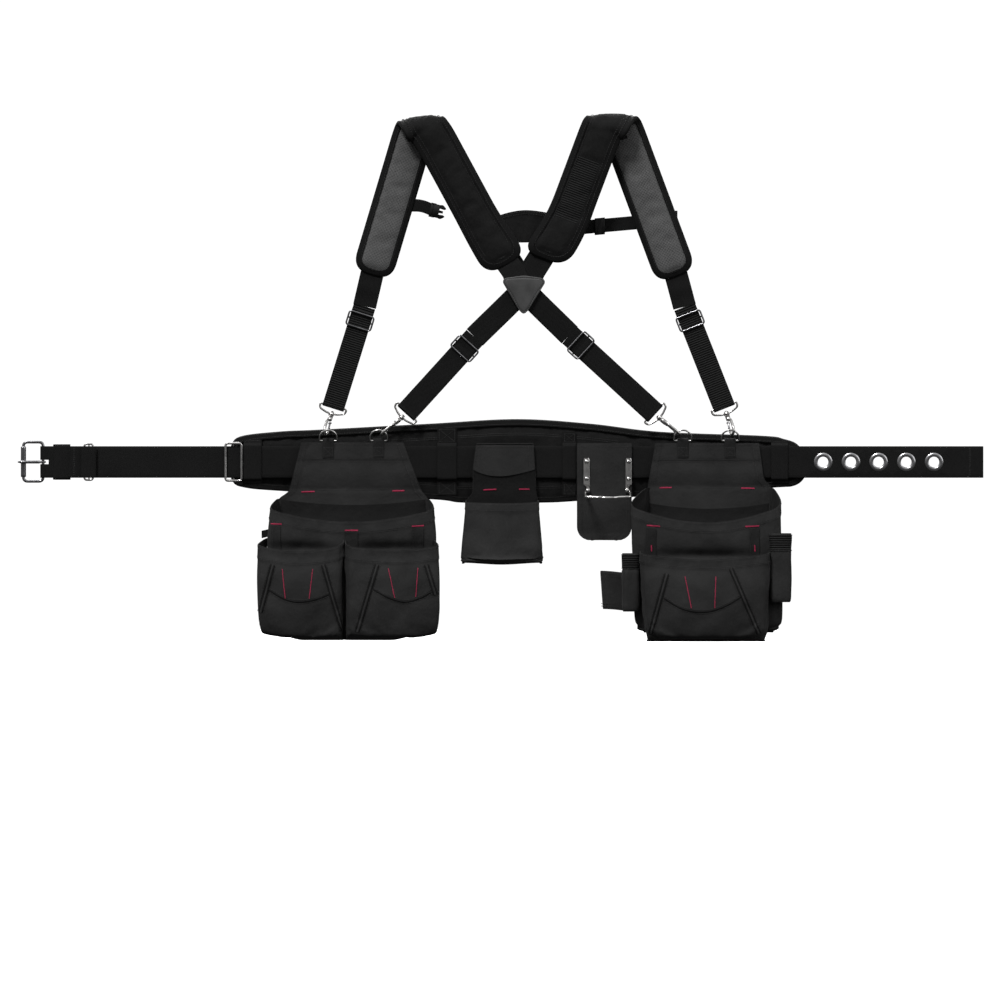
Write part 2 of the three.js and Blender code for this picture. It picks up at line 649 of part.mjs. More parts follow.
// A padded strap: its back half from its lower end up to the crease, a helical fold over the
// crease, and its front half behind, down to its other end.
function shoulderPad(name, { low, crease, high, width, radius, depth }) {
  const up = crease.clone().sub(low).normalize();
  const down = high.clone().sub(crease).normalize();
  const fold = up.clone().add(down).normalize();
  const lift = up.clone().addScaledVector(fold, -up.dot(fold));
  const slip = up.dot(fold) / lift.length();
  lift.normalize();
  const wrap = (angle) =>
    crease
      .clone()
      .addScaledVector(fold, radius * slip * (angle - Math.PI / 2))
      .addScaledVector(lift, radius * (Math.sin(angle) - 1))
      .add(V(0, depth + radius * (1 - Math.cos(angle)), 0));
  const outAt = (angle) =>
    V(0, -Math.cos(angle), 0).addScaledVector(lift, Math.sin(angle));
  const start = wrap(0);
  const end = wrap(Math.PI);
  const ends = [[0, 0.6], [0.02, 0.8], [0.06, 0.96], [0.12, 1]];
  const middles = [0.35, 0.6, 0.85];
  const leg = (from, to, angle) => {
    const along = to.clone().sub(from).normalize();
    const out = outAt(angle);
    const across = along.clone().cross(out).normalize();
    return [...ends, ...middles.map((share) => [share, 1])].map(([share, scale]) => ({
      at: from.clone().lerp(to, share),
      across,
      out,
      width: width * scale,
      thickness: PAD_DEPTH,
    }));
  };
  const lowEnd = low.clone().setY(depth);
  const highEnd = high.clone().setY(end.y);
  const steps = 8;
  const bent = Array.from({ length: steps + 1 }, (_, i) => {
    const angle = (i * Math.PI) / steps;
    const along = fold.clone().multiplyScalar(slip).addScaledVector(lift, Math.cos(angle));
    along.add(V(0, Math.sin(angle), 0)).normalize();
    const out = outAt(angle);
    const across = along.cross(out).normalize();
    return { at: wrap(angle), across, out, width, thickness: PAD_DEPTH };
  });
  const back = leg(lowEnd, start, 0);
  const front = leg(highEnd, end, Math.PI).reverse();
  for (const station of front) station.across.normalize();
  const turned = front.map((station) => ({ ...station, across: station.across.clone().negate() }));
  add(name, band([...back, ...bent, ...turned], PAD_SECTION), padCloth);
  return { lowEnd, highEnd };
}

function suspenders() {
  const leftPad = shoulderPad("shoulder_pad_left", {
    low: V(-10, 0, 317), crease: V(-149, 0, 545), high: V(-228, 0, 301),
    width: 64, radius: 11, depth: -46,
  });
  const rightPad = shoulderPad("shoulder_pad_right", {
    low: V(62.5, 0, 321), crease: V(157.5, 0, 549), high: V(256, 0, 295),
    width: 66, radius: 16, depth: -46,
  });
  const below = (end, towards, gap) =>
    end.clone().addScaledVector(towards.clone().sub(end).normalize(), gap);

  // The two back straps cross under the patch, the left pad's in front.
  const over = V(15, -48.8, 277);
  const under = V(15, -43.6, 277);
  const overHigh = V(3, -48.8, 297);
  const underHigh = V(34, -43.6, 297);
  const glides = {
    front_left: V(-247, -19, 227),
    back_left: V(-79, -37, 182),
    back_right: V(107, -37, 187),
    front_right: V(283, -12.5, 227),
  };
  const routes = {
    front_left: [below(leftPad.highEnd, glides.front_left, 3)],
    back_left: [under, underHigh, below(rightPad.lowEnd, underHigh, 15)],
    back_right: [over, overHigh, below(leftPad.lowEnd, overHigh, 4)],
    front_right: [below(rightPad.highEnd, glides.front_right, 2)],
  };
  for (const [name, end] of Object.entries(ENDS)) {
    const [place, side] = name.split("_");
    const strapName = `${place}_strap_${side}`;
    triGlide(`tri_glide_${name}`, suspenderStrap(strapName, end, routes[name], glides[name]));
    snapHook(name, end);
  }

  const patch = softened([[-20, 289], [15, 299], [52, 290], [15.5, 233]], 7, 3);
  add("cross_patch", slab(patch, -53.2, -50.3), patchLeather);
  const arch = [
    [-46, 382], [-20, 397], [14, 404], [48.5, 401], [78, 392], [70, 352], [26, 352.5],
    [2, 355], [-28, 352],
  ];
  add("yoke", slab(arch, -39.4, -36.8), webbing);
}

function chestStrap() {
  const slope = V(-0.12, 0, 1).normalize();
  const left = [[-154.4, 421], [-136, 415], [-136, 396], [-160.4, 402]];
  add("chest_strap_left", slab(left, -25.2, -23), webbing, { axis: V(-0.27, 0, -0.96) });
  const clip = softened([[-135.6, 418], [-109, 411], [-109, 388], [-135.6, 393]], 4, 2);
  add("chest_buckle_left", slab(clip, -28, -20), plastic, { axis: slope });

  const strap = slab([[102, 388], [102, 365], [258, 379], [258, 402]], -5.6, -3.6);
  const nub = slab(softened([[254, 378], [254, 405], [265, 405], [265, 378]], 3, 2), -7, -2.4);
  const adjuster = slab(softened(rectangle(129, 147, 363, 394), 3, 2), -8, -2.2);
  add("chest_strap_right", unite(strap, nub, adjuster), webbing, { axis: V(-0.36, 0, 0.93) });
  const half = softened([[60, 362], [60, 384], [101.6, 388], [101.6, 366]], 4, 2);
  add("chest_buckle_right", slab(half, -8.6, -0.8), plastic);
}

const LEFT_RINGS = [ENDS.front_left.ring, ENDS.back_left.ring];
const RIGHT_RINGS = [ENDS.back_right.ring, ENDS.front_right.ring];

paddedBelt();
beltStrap();
beltLoops();
buckle();
keeper();
beltSliders();
leftBag(LEFT_RINGS);
rightBag(RIGHT_RINGS);
tapePouch();
hammerHolder();
for (const [name, { ring }] of Object.entries(ENDS)) dRing(`d_ring_${name}`, ring);
suspenders();
chestStrap();

export default toolBelt;
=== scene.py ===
"""Looks of the carpenter's tool belt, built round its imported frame.

Sizes are in millimetres until a mesh is built. +X is right, +Y is to the wearer, +Z is up.
Cloth pieces are grids of points (rows down or along, columns across), so that hems, seams
and stitches are laid out on the finished cloth.
"""

import json
import math

import bmesh
import bpy
import numpy as np
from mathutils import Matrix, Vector, noise
from mathutils.bvhtree import BVHTree


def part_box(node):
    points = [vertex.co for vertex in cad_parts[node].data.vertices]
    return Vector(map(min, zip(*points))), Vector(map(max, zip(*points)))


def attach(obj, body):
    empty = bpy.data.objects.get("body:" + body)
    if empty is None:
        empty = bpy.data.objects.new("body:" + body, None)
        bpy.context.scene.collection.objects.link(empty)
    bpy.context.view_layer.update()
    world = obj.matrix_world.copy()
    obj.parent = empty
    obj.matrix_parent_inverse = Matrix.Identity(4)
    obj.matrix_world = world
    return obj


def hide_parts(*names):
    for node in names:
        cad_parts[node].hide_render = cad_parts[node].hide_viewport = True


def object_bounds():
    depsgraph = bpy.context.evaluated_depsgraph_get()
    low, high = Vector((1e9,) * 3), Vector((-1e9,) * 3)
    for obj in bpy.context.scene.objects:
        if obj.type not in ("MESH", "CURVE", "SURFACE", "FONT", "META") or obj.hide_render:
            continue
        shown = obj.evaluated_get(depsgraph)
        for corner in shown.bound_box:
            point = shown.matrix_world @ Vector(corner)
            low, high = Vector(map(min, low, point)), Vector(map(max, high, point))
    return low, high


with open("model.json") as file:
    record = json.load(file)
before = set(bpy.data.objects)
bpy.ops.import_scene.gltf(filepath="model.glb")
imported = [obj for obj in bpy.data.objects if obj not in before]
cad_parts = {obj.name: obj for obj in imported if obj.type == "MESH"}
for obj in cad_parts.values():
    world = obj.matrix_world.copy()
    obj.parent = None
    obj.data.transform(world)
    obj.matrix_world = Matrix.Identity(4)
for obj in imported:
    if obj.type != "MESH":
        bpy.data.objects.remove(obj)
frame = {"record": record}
CAD_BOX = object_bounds()

MM = 0.001
RECORD = frame["record"]
BODY = {node: body for body, nodes in RECORD["behaviour"]["bodies"].items() for node in nodes}
UP = np.array([0.0, 0.0, 1.0])
RIGHT = np.array([1.0, 0.0, 0.0])
REAR = np.array([0.0, 1.0, 0.0])

# ---- Driving dimensions, shared with the frame ----
STRAP_FRONT = -20.3
STRAP_BACK = -17.0
STRAP_HALF = 25.4
STRAP_Y = (STRAP_FRONT + STRAP_BACK) / 2
PANEL_FRONT = -24.0
PANEL_BACK = -21.0
SHELL_BACK = -24.4
SLEEVE_HALF = 29.0
WEB = 38.0
EYELETS = {"first": 496.3, "pitch": 44.5, "count": 5, "hole": 8.5}
BUCKLE = {"bar": -756.0, "roller": -787.5, "half": 31.5, "wire": 2.4, "middle": 0.5}
RING = {"y": -22.5, "z": 34.0, "half": 14.0, "rise": 4.8, "wire": 1.5, "tilt": 25.0}
HOOK = {"reach": 36.1, "wire": 2.2, "half": 6.9}
EYE = {"bar": 13.0, "half": 22.2, "wire": 1.7}
HAMMER_PIVOT = (-28.8, -46.0)
CLOTH = 1.6
SHARP_ANGLE = 50


# ---- Camera, light and floor ----
def set_stage():
    """A square-on view, soft light from the upper left, and a pale floor."""
    scene = bpy.context.scene
    view_width = 1.6
    distance = 12.0
    camera = bpy.data.cameras.new("camera")
    camera.sensor_width = 36
    camera.lens = camera.sensor_width * distance / view_width
    holder = bpy.data.objects.new("camera", camera)
    holder.location = (-0.0224, -distance - 0.06, -0.061)
    holder.rotation_euler = (math.radians(90), 0, 0)
    scene.collection.objects.link(holder)
    scene.camera = holder
    scene.view_settings.view_transform = "Standard"

    world = bpy.data.worlds.new("studio")
    scene.world = world
    world.use_nodes = True
    tree = world.node_tree
    tree.nodes.clear()
    add, link = tree.nodes.new, tree.links.new
    height = add("ShaderNodeSeparateXYZ")
    link(add("ShaderNodeTexCoord").outputs["Generated"], height.inputs[0])
    rise = add("ShaderNodeMapRange")
    rise.inputs["From Min"].default_value = -1
    link(height.outputs["Z"], rise.inputs["Value"])
    sky = add("ShaderNodeValToRGB")
    stops = [(0.0, 0.06), (0.42, 0.1), (0.62, 0.34), (1.0, 0.95)]
    while len(sky.color_ramp.elements) < len(stops):
        sky.color_ramp.elements.new(0.5)
    for element, (place, level) in zip(sky.color_ramp.elements, stops):
        element.position = place
        element.color = (level, level, level, 1)
    link(rise.outputs[0], sky.inputs[0])
    fill = add("ShaderNodeBackground")
    link(sky.outputs[0], fill.inputs["Color"])
    backdrop = add("ShaderNodeBackground")
    backdrop.inputs["Color"].default_value = (1, 1, 1, 1)
    backdrop.inputs["Strength"].default_value = 1.05
    mix = add("ShaderNodeMixShader")
    link(add("ShaderNodeLightPath").outputs["Is Camera Ray"], mix.inputs[0])
    link(fill.outputs[0], mix.inputs[1])
    link(backdrop.outputs[0], mix.inputs[2])
    link(mix.outputs[0], add("ShaderNodeOutputWorld").inputs["Surface"])

    suns = [("key", 2.6, (0.5, 0.9, -1.2), 14), ("side", 0.7, (-1.0, 0.5, -0.5), 40),
            ("rear", 1.6, (0.3, -1.0, -0.9), 40)]
    for name, strength, direction, softness in suns:
        lamp = bpy.data.lights.new(name, "SUN")
        lamp.energy = strength
        lamp.angle = math.radians(softness)
        sun = bpy.data.objects.new(name, lamp)
        sun.rotation_euler = Vector(direction).to_track_quat("-Z", "Y").to_euler()
        scene.collection.objects.link(sun)

    size = 30.0
    level = CAD_BOX[0].z - 0.5
    mesh = bpy.data.meshes.new("floor")
    corners = [(-size, -size), (size, -size), (size, size), (-size, size)]
    mesh.from_pydata([(x, y, level) for x, y in corners], [], [(0, 1, 2, 3)])
    floor = bpy.data.objects.new("floor", mesh)
    scene.collection.objects.link(floor)
    floor.visible_diffuse = False
    floor.visible_glossy = False
    pale = bpy.data.materials.new("pale_floor")
    pale.use_nodes = True
    shader = pale.node_tree.nodes["Principled BSDF"]
    shader.inputs["Base Color"].default_value = (0.8, 0.8, 0.8, 1)
    shader.inputs["Roughness"].default_value = 1.0
    shader.inputs["Specular IOR Level"].default_value = 0.0
    shader.inputs["Emission Color"].default_value = (1, 1, 1, 1)
    shader.inputs["Emission Strength"].default_value = 0.8
    mesh.materials.append(pale)


# ---- Materials ----
def grey(level):
    """The linear value of an 8-bit display level."""
    share = level / 255
    return share / 12.92 if share <= 0.04045 else ((share + 0.055) / 1.055) ** 2.4


class Finish:
    """A material's nodes: fixed shader values, then colour, roughness and relief patterns."""

    def __init__(self, name, coords="UV", **fixed):
        self.material = bpy.data.materials.new(name)
        self.material.use_nodes = True
        self.tree = self.material.node_tree
        self.shader = self.tree.nodes["Principled BSDF"]
        for socket, value in fixed.items():
            self.shader.inputs[socket.replace("_", " ")].default_value = value
        self.where = self.tree.nodes.new("ShaderNodeTexCoord").outputs[coords]
        self.relief = None

    def add(self, kind, inputs=(), **settings):
        node = self.tree.nodes.new(kind)
        for name, value in settings.items():
            setattr(node, name, value)
        for socket, value in dict(inputs).items():
            if isinstance(value, bpy.types.NodeSocket):
                self.tree.links.new(value, node.inputs[socket])
            else:
                node.inputs[socket].default_value = value
        return node

    def math(self, operation, a, b=0.0, c=0.0):
        return self.add("ShaderNodeMath", {0: a, 1: b, 2: c}, operation=operation).outputs[0]

    def stretched(self, scale):
        return self.add("ShaderNodeMapping", {"Vector": self.where, "Scale": scale}).outputs[0]

    def noise(self, scale, detail=4.0, where=None):
        inputs = {"Vector": where or self.where, "Scale": scale, "Detail": detail}
        return self.add("ShaderNodeTexNoise", inputs).outputs["Fac"]

    def wave(self, axis, pitch, shift=0.0):
        """A sine along one axis of the pattern space, one turn each pitch."""
        position = self.add("ShaderNodeSeparateXYZ", {0: self.where}).outputs[axis]
        turns = self.math("MULTIPLY_ADD", position, 2 * math.pi / (pitch * MM), shift)
        return self.math("SINE", turns)

    def weave(self, pitch_along, pitch_across):
        """Plain weave: bumps that alternate both ways, from 0 to 1."""
        crossing = self.math("MULTIPLY", self.wave("X", pitch_along), self.wave("Y", pitch_across))
        return self.math("MULTIPLY_ADD", crossing, 0.5, 0.5)

    def ramp(self, factor, stops):
        node = self.add("ShaderNodeValToRGB", {"Fac": factor})
        elements = node.color_ramp.elements
        while len(elements) < len(stops):
            elements.new(0.5)
        for element, (place, colour) in zip(elements, stops):
            element.position = place
            element.color = (*colour, 1) if isinstance(colour, tuple) else (colour,) * 3 + (1,)
        return node.outputs["Color"]

    def blend(self, factor, a, b):
        """Colour `a` where the factor is 0 and `b` where it is 1."""
        return self.add("ShaderNodeMix", {0: factor, 6: a, 7: b}, data_type="RGBA").outputs[2]

    def colour(self, socket):
        self.tree.links.new(socket, self.shader.inputs["Base Color"])

    def roughness(self, factor, low, high):
        inputs = {"Value": factor, "To Min": low, "To Max": high}
        spread = self.add("ShaderNodeMapRange", inputs).outputs[0]
        self.tree.links.new(spread, self.shader.inputs["Roughness"])

    def bump(self, height, depth, strength=1.0):
        """Relief of that depth in millimetres, on top of what is there already."""
        inputs = {"Height": height, "Distance": depth * MM, "Strength": strength}
        if self.relief:
            inputs["Normal"] = self.relief
        self.relief = self.add("ShaderNodeBump", inputs).outputs[0]
        self.tree.links.new(self.relief, self.shader.inputs["Normal"])


def woven_cloth(name, dark, light, pitch, sheen=0.02, specular=0.14, crumple=0.8):
    """Coated polyester: a fine plain weave, soft creases, dust that lifts its colour, and a painted
    highlight on the raised threads.
    """
    f = Finish(name, Specular_IOR_Level=specular, Sheen_Weight=sheen, Sheen_Roughness=0.5)
    threads = f.weave(pitch, pitch)
    patches = f.noise(16, 6)
    # Colour: dust patches, and the raised threads painted lighter as a highlight.
    wear_and_highlight = f.math("MULTIPLY_ADD", threads, 0.35, f.math("MULTIPLY", patches, 0.65))
    f.colour(f.ramp(wear_and_highlight, [(0.3, dark), (0.72, light)]))
    f.roughness(patches, 0.62, 0.85)
    f.bump(f.noise(34, 3), 2.6, crumple)
    f.bump(f.noise(120, 3), 0.5, crumple)
    f.bump(threads, 0.16, 0.8)
    return f.material


def ribbed_web(name, dark, light, along, across, depth=0.3, specular=0.12):
    """Woven tape: ribs each `along` down its length, in columns each `across` wide."""
    f = Finish(name, Specular_IOR_Level=specular, Sheen_Weight=0.02, Sheen_Roughness=0.4)
    columns = f.wave("Y", across)
    ribs = f.math("MULTIPLY", f.wave("X", along), columns)
    height = f.math("MULTIPLY_ADD", ribs, 0.5, 0.5)
    fuzz = f.noise(900, 2)
    patches = f.noise(22, 5)
    # Colour: wear patches, and the raised ribs painted lighter as a highlight.
    wear_and_highlight = f.math("MULTIPLY_ADD", height, 0.4, f.math("MULTIPLY", patches, 0.6))
    f.colour(f.ramp(wear_and_highlight, [(0.25, dark), (0.75, light)]))
    f.roughness(patches, 0.6, 0.9)
    f.bump(height, depth)
    f.bump(fuzz, 0.12, 0.6)
    return f.material


def elastic_web(name, dark, light):
    """Elastic tape, ribbed straight across its width."""
    f = Finish(name, Specular_IOR_Level=0.14, Sheen_Weight=0.02, Sheen_Roughness=0.4)
    ribs = f.math("MULTIPLY_ADD", f.wave("X", 3.6), 0.5, 0.5)
    fine = f.wave("Y", 1.3)
    patches = f.noise(30, 4)
    # Colour: wear patches, and the raised ribs painted lighter as a highlight.
    wear_and_highlight = f.math("MULTIPLY_ADD", ribs, 0.7, f.math("MULTIPLY", patches, 0.3))
    f.colour(f.ramp(wear_and_highlight, [(0.2, dark), (0.8, light)]))
    f.roughness(ribs, 0.85, 0.6)
    f.bump(ribs, 0.9)
    f.bump(fine, 0.1, 0.7)
    return f.material


def mesh_lining():
    """Knitted spacer mesh: rows of small holes in a grey net."""
    f = Finish("mesh_lining", Specular_IOR_Level=0.1, Sheen_Weight=0.05, Sheen_Roughness=0.5)
    spots = f.add("ShaderNodeTexVoronoi", {"Vector": f.where, "Scale": 420, "Randomness": 0.1})
    holes = spots.outputs["Distance"]
    patches = f.noise(26, 4)
    net = f.ramp(holes, [(0.2, grey(26)), (0.42, grey(88))])
    wear_and_highlight = f.ramp(holes, [(0.2, grey(48)), (0.42, grey(104))])
    f.colour(f.blend(patches, net, wear_and_highlight))
    f.roughness(patches, 0.7, 0.9)
    f.bump(holes, 0.6)
    return f.material


def plated(name, colour, low, high, tarnish):
    """Plated wire: fine scratches, and a duller tint in patches."""
    f = Finish(name, "Object", Metallic=1.0)
    patches = f.noise(60, 5)
    scratches = f.noise(300, 6, f.stretched((1, 1, 6)))
    shades = [(0.35, tuple(c * tarnish for c in colour)), (0.65, colour)]
    f.colour(f.ramp(patches, shades))
    f.roughness(scratches, low, high)
    f.bump(scratches, 0.05, 0.5)
    return f.material


def moulded_plastic():
    """Black buckle plastic with a fine grain."""
    f = Finish("moulded_plastic", "Object", Specular_IOR_Level=0.25)
    grain = f.noise(1500, 3)
    patches = f.noise(40, 4)
    f.colour(f.ramp(patches, [(0.3, grey(13)), (0.7, grey(22))]))
    f.roughness(patches, 0.35, 0.55)
    f.bump(grain, 0.05, 0.5)
    return f.material


def moulded_patch():
    """Satin rubber with a fine leather grain."""
    f = Finish("moulded_patch", "Object", Specular_IOR_Level=0.35)
    inputs = {"Vector": f.where, "Scale": 700}
    grain = f.add("ShaderNodeTexVoronoi", inputs, feature="DISTANCE_TO_EDGE").outputs["Distance"]
    patches = f.noise(50, 5)
    f.colour(f.ramp(patches, [(0.3, grey(56)), (0.7, grey(70))]))
    f.roughness(patches, 0.42, 0.6)
    f.bump(grain, 0.18, 0.6)
    return f.material


def thread(name, dark, light):
    """Twisted sewing thread."""
    f = Finish(name, "Object", Specular_IOR_Level=0.3, Sheen_Weight=0.1)
    patches = f.noise(260, 3)
    f.colour(f.ramp(patches, [(0.3, dark), (0.7, light)]))
    f.roughness(patches, 0.45, 0.7)
    f.bump(f.noise(2500, 2), 0.1, 0.6)
    return f.material


# ---- Points and curves ----
def vec(*values):
    return np.array(values, float)


def unit(v):
    return v / np.maximum(np.linalg.norm(v, axis=-1, keepdims=True), 1e-12)


def ease(share):
    """Smooth step from 0 to 1."""
    share = np.clip(share, 0, 1)
    return share * share * (3 - 2 * share)


def lengths(points):
    """Distance along a path at each of its points."""
    return np.concatenate([[0], np.cumsum(np.linalg.norm(np.diff(points, axis=0), axis=1))])


def sample(points, at):
    """The path's points at the distances `at` along it."""
    s = lengths(points)
    return np.stack([np.interp(at, s, points[:, k]) for k in range(points.shape[1])], axis=1)


def resample(points, count, closed=False):
    """The path as `count` evenly spaced points."""
    points = np.asarray(points, float)
    if closed:
        points = np.vstack([points, points[:1]])
    return sample(points, np.linspace(0, lengths(points)[-1], count + closed)[:count])


def smooth_path(points, count, closed=False):
    """A Catmull-Rom curve through the points, as `count` evenly spaced points."""
    p = np.asarray(points, float)
    if closed:
        p = np.vstack([p[-1], p, p[:2]])
    else:
        p = np.vstack([2 * p[0] - p[1], p, 2 * p[-1] - p[-2]])
    t = np.linspace(0, 1, 12, endpoint=False)[:, None]
    fine = [
        0.5 * (2 * b + (c - a) * t + (2 * a - 5 * b + 4 * c - d) * t**2
               + (3 * b - a - 3 * c + d) * t**3)
        for a, b, c, d in zip(p, p[1:], p[2:], p[3:])
    ]
    if not closed:
        fine.append(p[-2:-1])
    return resample(np.vstack(fine), count, closed)


def rounded(corners, radius, closed=True, steps=6):
    """The corners joined by straight runs, each corner softened by an arc."""
    corners = np.asarray(corners, float)
    t = np.linspace(0, 1, steps + 1)[:, None]
    runs = []
    for i, corner in enumerate(corners):
        if not closed and i in (0, len(corners) - 1):
            runs.append(corner[None])
            continue
        before, after = (
            corner + (other - corner) * min(0.45, radius / np.linalg.norm(other - corner))
            for other in (corners[i - 1], corners[(i + 1) % len(corners)])
        )
        runs.append((1 - t) ** 2 * before + 2 * t * (1 - t) * corner + t**2 * after)
    return np.vstack(runs)


def directions(centres, out, closed=False):
    """Along, across and out directions of a path, `out` kept as close as it can be."""
    ahead, behind = np.roll(centres, -1, 0), np.roll(centres, 1, 0)
    if not closed:
        ahead[-1], behind[0] = centres[-1], centres[0]
    along = unit(ahead - behind)
    outs = np.broadcast_to(np.asarray(out, float), centres.shape)
    outs = unit(outs - along * np.sum(outs * along, axis=1, keepdims=True))
    return along, np.cross(along, outs), outs


def carried(centres, out):
    """Like directions, for a path that turns towards `out`: each frame follows the last."""
    along, _, outs = directions(centres, out)
    turned = []
    last = outs[0]
    for step in along:
        last = unit(last - step * np.dot(last, step))
        turned.append(last)
    turned = np.array(turned)
    return along, np.cross(along, turned), turned


def from_ends(count):
    """Each index's distance from the nearer end of a row."""
    return np.minimum(np.arange(count), np.arange(count)[::-1])


def ellipse(a, b, sides=12):
    """An ellipse as (across, out) points."""
    angle = (np.arange(sides) + 0.5) * 2 * math.pi / sides
    return np.stack([a * np.cos(angle), b * np.sin(angle)], axis=1)


def wobble(points, scale, seed):
    """Smooth noise from -1 to 1 at each point, about `scale` millimetres from crest to crest."""
    shift = Vector((seed * 7.3, seed * 3.1, seed * 5.7))
    flat = points.reshape(-1, 3) / scale
    values = np.array([noise.noise(Vector(p) + shift) for p in flat])
    return values.reshape(points.shape[:-1])


# ---- Grids of cloth ----
def normals(grid):
    """Unit normals of a grid, towards the wearer's side where rows run down and columns right."""
    rows, columns = np.gradient(grid, axis=(0, 1))
    return unit(np.cross(columns, rows))


def quads(rows, columns, wrap_rows=False, wrap_columns=False):
    """The quads of a grid: vertex indices, and each corner's row and column before wrapping."""
    i, j = np.meshgrid(
        np.arange(rows if wrap_rows else rows - 1),
        np.arange(columns if wrap_columns else columns - 1),
        indexing="ij",
    )
    i, j = i.ravel(), j.ravel()
    corners = np.stack([(i, j), (i, j + 1), (i + 1, j + 1), (i + 1, j)], axis=1).T
    return (corners[..., 0] % rows) * columns + corners[..., 1] % columns, corners


def grid_uv(grid, corners, wrap_rows=False, wrap_columns=False):
    """UVs in metres: distance along the middle column, and across each row from its middle."""
    wide = np.concatenate([grid, grid[:, :1]], axis=1) if wrap_columns else grid
    tall = np.concatenate([wide, wide[:1]], axis=0) if wrap_rows else wide
    along = lengths(tall[:, tall.shape[1] // 2])
    steps = np.linalg.norm(np.diff(tall, axis=1), axis=2)
    across = np.concatenate([np.zeros((len(tall), 1)), np.cumsum(steps, axis=1)], axis=1)
    across -= across[:, -1:] / 2
    u = np.broadcast_to(along[:, None], across.shape)
    uv = np.stack([u, across], axis=2) * MM
    return uv[corners[..., 0], corners[..., 1]]


class Shape:
    """A piece's mesh in the making."""

    def __init__(self):
        self.points = []
        self.faces = []
        self.uvs = []
        self.looks = []
        self.count = 0

    def add(self, points, faces, uvs=None, look=0):
        faces = np.asarray(faces)
        if uvs is None:
            uvs = np.asarray(points, float)[faces][..., [0, 2]] * MM
        self.points.append(np.asarray(points, float).reshape(-1, 3))
        self.faces.append(faces + self.count)
        self.uvs.append(np.asarray(uvs, float))
        self.looks.append(np.broadcast_to(look, len(faces)))
        self.count += len(self.points[-1])
        return self

    def skin(self, grid, wrap_rows=False, wrap_columns=False, look=0):
        """An open sheet, or a ring where rows or columns wrap."""
        faces, corners = quads(*grid.shape[:2], wrap_rows, wrap_columns)
        return self.add(grid, faces, grid_uv(grid, corners, wrap_rows, wrap_columns), look)

    def capped(self, rings, look=0):
        """A tube through the rings, with a flat face over each end."""
        self.skin(rings, False, True, look)
        columns = rings.shape[1]
        flat = rings.reshape(-1, 3)
        first = self.count - len(flat)
        for start in (0, len(flat) - columns):
            cap = np.arange(start, start + columns)[None]
            self.faces.append(cap + first)
            self.uvs.append(flat[cap][..., [0, 2]] * MM)
            self.looks.append(np.zeros(1, int))
        return self

    def cloth(self, grid, thickness=CLOTH, out=0.0, look=0, edge=None, lining=None):
        """A closed sheet: `out` in front of the grid and the rest of the thickness behind it."""
        behind = normals(grid)
        rows, columns = grid.shape[:2]
        swell = np.ones((rows, columns, 1))
        if edge is not None:
            swell = swell * np.asarray(edge, float)[None, :, None]
        middle = grid + behind * (thickness / 2 - out)
        front = middle - behind * swell * thickness / 2
        back = middle + behind * swell * thickness / 2
        faces, corners = quads(rows, columns)
        uv = grid_uv(grid, corners)
        count = rows * columns
        index = np.arange(count).reshape(rows, columns)
        rim = np.concatenate([index[0], index[1:, -1], index[-1, -2::-1], index[-2:0:-1, 0]])
        after = np.roll(rim, -1)
        walls = np.stack([rim, after, after + count, rim + count], axis=1)
        points = np.concatenate([front.reshape(-1, 3), back.reshape(-1, 3)])
        full = np.zeros((count, 2))
        full[faces.ravel()] = uv.reshape(-1, 2)
        full = np.concatenate([full, full])
        everything = np.concatenate([faces[:, ::-1], faces + count, walls])
        inside = look if lining is None else lining
        looks = np.repeat([look, inside, look], [len(faces), len(faces), len(walls)])
        return self.add(points, everything, full[everything], looks)

    def sweep(self, centres, across, out, section, closed=False, scale=None):
        """Carries a closed section of (across, out) points along the centres."""
        section = np.asarray(section, float)[None]
        if scale is not None:
            section = section * np.asarray(scale, float)[:, None, None]
        ring = (
            centres[:, None]
            + across[:, None] * section[..., :1]
            + out[:, None] * section[..., 1:]
        )
        return self.skin(ring, True, True) if closed else self.capped(ring)

    def wire(self, points, radius, out, closed=False, sides=12):
        """Round wire through points; an open one has rounded ends."""
        points = np.asarray(points, float)
        scale = np.ones(len(points))
        if not closed:
            along = unit(points[[1, -1]] - points[[0, -2]])
            tips = [0.55, 0.9]
            first = [points[0] - along[0] * radius * (1 - t) ** 0.5 * 0.9 for t in tips]
            last = [points[-1] + along[1] * radius * (1 - t) ** 0.5 * 0.9 for t in tips[::-1]]
            points = np.vstack([first, points, last])
            scale = np.concatenate([tips, scale, tips[::-1]])
        _, across, outs = directions(points, out, closed)
        return self.sweep(points, across, outs, ellipse(radius, radius, sides), closed, scale)

    def lathe(self, profile, origin, axis, sides=24):
        """A turned form: (height, radius) points round an axis, closed at its ends."""
        profile = np.asarray(profile, float)
        axis = unit(np.asarray(axis, float))
        side = unit(np.cross(axis, [0.31, 0.87, 0.37]))
        other = np.cross(axis, side)
        angle = np.arange(sides) * 2 * math.pi / sides
        spokes = np.outer(np.cos(angle), side) + np.outer(np.sin(angle), other)
        rings = origin + axis * profile[:, None, :1] + spokes * profile[:, None, 1:]
        ring_closed = bool(np.allclose(profile[0], profile[-1]))
        if ring_closed:
            rings = rings[:-1]
        return self.skin(rings, ring_closed, True)

    def plate(self, outline, front, back, bevel=0.6):
        """A plate with an outline in X and Z and softened edges."""
        outline = np.asarray(outline, float)
        shrink = outline + unit(outline.mean(axis=0) - outline) * bevel
        levels = [(shrink, front), (outline, front + bevel), (outline, back - bevel),
                  (shrink, back)]
        return self.capped(np.array([[(x, y, z) for x, z in line] for line, y in levels]))

